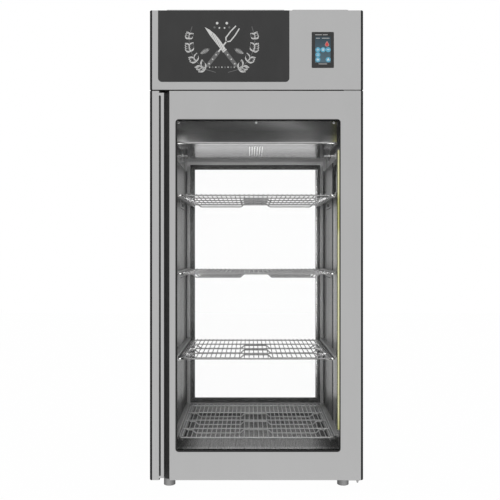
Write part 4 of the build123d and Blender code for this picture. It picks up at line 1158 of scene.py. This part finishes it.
# touch display: moulded frame, glass, round keys with plain signs on them
displayForm = dict(
    corner=4, front=0.1, frameSheet=0.9, back=1.7, backIn=4, glassFit=0.1, glass=1.2, print=0.1,
    raised=0.16, keyRadius=10.5, dash=1.5,
    keys=[(259.4, 1869.9, "plus"), (281.4, 1869.9, "bars"), (302.9, 1869.9, "minus"),
        (259.4, 1848.7, "dots"), (259.4, 1828, "lamp"), (302.9, 1828, "fan")],
    dashes=[(248, 276, 1933), (280, 300, 1933), (251, 268, 1918.5), (276, 308, 1918.5), (262, 298, 1809.8)],
    sign=(297.8, 1894),
    drop=[(0, 9.5), (-3, 4), (-5.4, -0.6), (-5.6, -3.6), (-3.8, -6.6), (0, -7.9), (3.8, -6.6), (5.6, -3.6),
        (5.4, -0.6), (3, 4)])
signShapes = {"plus": [box(-5, 5, -0.9, 0.9), box(-0.9, 0.9, -5, 5)],
              "minus": [box(-5, 5, -0.9, 0.9)],
              "bars": [box(-4.5, 4.5, z - 0.8, z + 0.8) for z in (-3.4, 0, 3.4)],
              "dots": [disc(u, v, 1.5, 12) for u in (-3, 3) for v in (-3, 3)],
              "lamp": [disc(0, 0, 2.8, 16)] + [turned(box(-0.6, 0.6, 4, 6.4), n * 45) for n in range(8)],
              "fan": [turned(leaf(6.4, 4.2, 6), n * 120) for n in range(3)]}


def display():
    x0, x1, _, d1, z0, z1 = limitsOf("display_bezel")
    left, right, front, _, low, high = limitsOf("display_screen")
    inset, fit, back = displayForm["backIn"], displayForm["glassFit"], displayForm["back"]
    bm = bmesh.new()
    outline = roundedBox(x0, x1, z0, z1, displayForm["corner"])
    addPrism(bm, [outline, roundedBox(left, right, low, high, 1)], displayForm["frameSheet"],
             facing(displayForm["front"]), edge=0.3)
    addPrism(bm, [roundedBox(x0 + inset, x1 - inset, z0 + inset, z1 - inset, 2)], d1 - back, facing(back))
    meshPiece("displayFrame", bm, "bezelCharcoal", "display_bezel")
    bm = bmesh.new()
    addPrism(bm, [roundedBox(left + fit, right - fit, low + fit, high - fit, 1)], displayForm["glass"],
             facing(front), edge=0.1)
    meshPiece("displayGlass", bm, "screenBlue", "display_screen")
    bm = bmesh.new()

    def printed(outline, finish, lift=displayForm["print"]):
        addPrism(bm, [outline], lift, facing(front - lift), finish=finish)

    for x, z, kind in displayForm["keys"]:
        printed(disc(x, z, displayForm["keyRadius"]), 0)
        for shape in signShapes[kind]:
            printed([(x + u, z + v) for u, v in shape], 1, displayForm["raised"])
    for start, end, z in displayForm["dashes"]:
        lift = displayForm["print"] if low < z < high else front - 0.02
        printed(box(start, end, z - displayForm["dash"], z + displayForm["dash"]), 2, lift)
    x, z = displayForm["sign"]
    printed([(x + u * 1.6, z + v * 1.4) for u, v in displayForm["drop"]], 4)
    printed([(x + u * 1.25, z + v * 1.15) for u, v in displayForm["drop"]], 3, 0.18)
    meshPiece("displayKeys", bm, "keyCyan keyIconPale screenDashGrey signRed signEdgePale")


display()
print("display made")


# raised roof covers with round upper edges
roofForm = dict(corner=8, soft=4.5, split=(124, 154))


def roofCovers():
    x0, x1, d0, d1, z0, z1 = limitsOf("roof_covers")
    bm = bmesh.new()
    for start, end in ((x0, roofForm["split"][0]), (roofForm["split"][1], x1)):
        addPrism(bm, [roundedBox(start, end, d0, d1, roofForm["corner"])], z1 - z0,
                 lambda u, v, w: at(u, v, z1 - w), edge=roofForm["soft"], steps=4)
    meshPiece("roofCovers", bm, "satinFaceSteel", "roof_covers", angle=40)


roofCovers()


# machine space: the round compressor can with its seam and feet, and the screws of the back panel
canForm = dict(radius=91.54, seam=0.52, dome=34, base=5, footAt=72, footHalf=20, boltIn=22)


def compressorCan():
    x0, x1, d0, d1, z0, top = limitsOf("compressor")
    x = (x0 + x1) / 2
    radius, dome, half = canForm["radius"], canForm["dome"], canForm["footHalf"]
    base = z0 + canForm["base"]
    seam = base + (top - base) * canForm["seam"]
    profile = [(radius - 14, base), (radius - 5, base + 4), (radius - 1, base + 14), (radius - 1, seam - 4),
               (radius, seam - 3), (radius, seam + 3), (radius - 1, seam + 4), (radius - 1, top - dome)]
    for n in range(1, 8):
        angle = math.radians(90 * n / 8)
        profile.append(((radius - 1) * (0.25 + 0.75 * math.cos(angle)), top - dome + 33.5 * math.sin(angle)))
    bm = bmesh.new()
    addTurned(bm, x, (d0 + d1) / 2, profile, level(0), 64)
    for side in (-1, 1):
        middle = x + side * canForm["footAt"]
        foot = roundedBox(middle - half, middle + half, d0, d1, 8)
        addPrism(bm, [foot], canForm["base"], level(z0), backEdge=1)
        for depth in (d0 + canForm["boltIn"], d1 - canForm["boltIn"]):
            addTurned(bm, middle, depth, [(9, base), (9, base + 6), (6, base + 8)], level(0), 20)
    meshPiece("compressorCan", bm, "compressorEnamel", "compressor")


backForm = dict(screw=4.05, aside=60, edge=14, sunk=0.2)


def backPanelScrews():
    x0, x1, _, d1, z0, z1 = limitsOf("casing_back")
    bm = bmesh.new()
    for x in (x0 + backForm["aside"], 0, x1 - backForm["aside"]):
        for z in (z0 + backForm["edge"], z1 - backForm["edge"]):
            addScrew(bm, x, z, backForm["screw"], lambda u, v, w: at(u, d1 - w - backForm["sunk"], v))
    meshPiece("backPanelScrews", bm, "screwSteel")


compressorCan()
backPanelScrews()


# pale spacer bar that shows inside the rear window's right edge
spacerForm = dict(x=(321, 334), depth=764.4, margin=27.5, sheet=0.5)


def rearSpacerStrip():
    z0, z1 = limitsOf("rear_glazing_bars")[4:]
    margin = spacerForm["margin"]
    bm = bmesh.new()
    addPrism(bm, [roundedBox(*spacerForm["x"], z0 + margin, z1 - margin, 0.4, 3)], spacerForm["sheet"],
             facing(spacerForm["depth"]), edge=0.1)
    meshPiece("rearSpacerStrip", bm, "spacerBarAluminium")


rearSpacerStrip()
print("machine space and rear window finished")


# plain soft studio: pale room, dimmer to the sides where metal mirrors it, two lamps and a white floor
studio = dict(
    room=0.72, sides=0.55, start=0.35, end=0.9, key=34, fill=16, strips=0.7, stripSpot=(344, 106, 850),
    stripSize=(0.016, 1.2), inner=5, innerSize=(0.6, 1.26), floor=0.86, floorWhite=0.985, floorSize=8)


def blended(switch, off, on):
    return addNode(switch, "Mix", {"Factor": switch, "A": off, "B": on}).outputs["Result"]


def paleRoom():
    world = bpy.data.worlds.new("paleRoom")
    bpy.context.scene.world = world
    world.use_nodes = True
    background = world.node_tree.nodes["Background"]
    rays = addNode(background, "LightPath").outputs
    place = addNode(background, "TexCoord").outputs["Generated"]
    across = addNode(background, "SeparateXYZ", {"Vector": place}).outputs["X"]
    mirrored = remap(worked("ABSOLUTE", across), 1.0, studio["sides"], studio["start"], studio["end"])
    strength = blended(rays["Is Glossy Ray"], studio["room"], mirrored)
    strength = blended(rays["Is Transmission Ray"], strength, 1.0)
    strength = blended(rays["Is Camera Ray"], strength, 1.0)
    feed(background.inputs["Color"], (1, 1, 1, 1))
    feed(background.inputs["Strength"], strength)


def areaLamp(name, place, target, size, power, mirrored=False, seen=True):
    lamp = bpy.data.lights.new(name, "AREA")
    lamp.shape = "RECTANGLE"
    lamp.size, lamp.size_y = size
    lamp.energy = power
    holder = newObject(name, lamp)
    holder.location = place
    holder.rotation_euler = (Vector(target) - Vector(place)).to_track_quat("-Z", "Y").to_euler()
    holder.visible_glossy = mirrored
    holder.visible_camera = seen


def whiteFloor():
    shader = newMaterial("whiteFloor", grey(studio["floor"]), 0.0, 0.9)
    rays = addNode(shader, "LightPath").outputs
    seen = worked("MAXIMUM", rays["Is Camera Ray"], rays["Is Glossy Ray"])
    seen = worked("MAXIMUM", seen, rays["Is Transmission Ray"])
    glow = addNode(shader, "Emission").outputs[0]
    mix = addNode(shader, "MixShader", {"Fac": worked("MULTIPLY", seen, studio["floorWhite"]),
                                        1: shader.outputs[0], 2: glow})
    feed(shader.id_data.nodes["Material Output"].inputs["Surface"], mix.outputs[0])
    bm = bmesh.new()
    bmesh.ops.create_grid(bm, x_segments=4, y_segments=4, size=studio["floorSize"])
    mesh = bpy.data.meshes.new("studioFloor")
    bm.to_mesh(mesh)
    bm.free()
    mesh.materials.append(looks["whiteFloor"])
    plane = newObject("studioFloor", mesh)


paleRoom()
areaLamp("broadLamp", (-2.2, -4.2, 3.6), (0, 0, 1.0), (3.0, 3.0), studio["key"])
areaLamp("sideLamp", (3.2, -3.0, 2.2), (0, 0, 1.0), (2.0, 2.4), studio["fill"])
for side in (-1, 1):  # the cabinet's own light strips shine inwards
    x, depth, z = studio["stripSpot"]
    areaLamp(f"stripLamp{side + 2}", at(side * x, depth, z), at(0, 450, z), studio["stripSize"],
             studio["strips"], mirrored=True, seen=False)
areaLamp("innerFill", at(0, 45, 830), at(0, 445, 830), studio["innerSize"], studio["inner"], seen=False)
whiteFloor()
bpy.context.scene.view_settings.view_transform = "Standard"
print("lights and floor set")
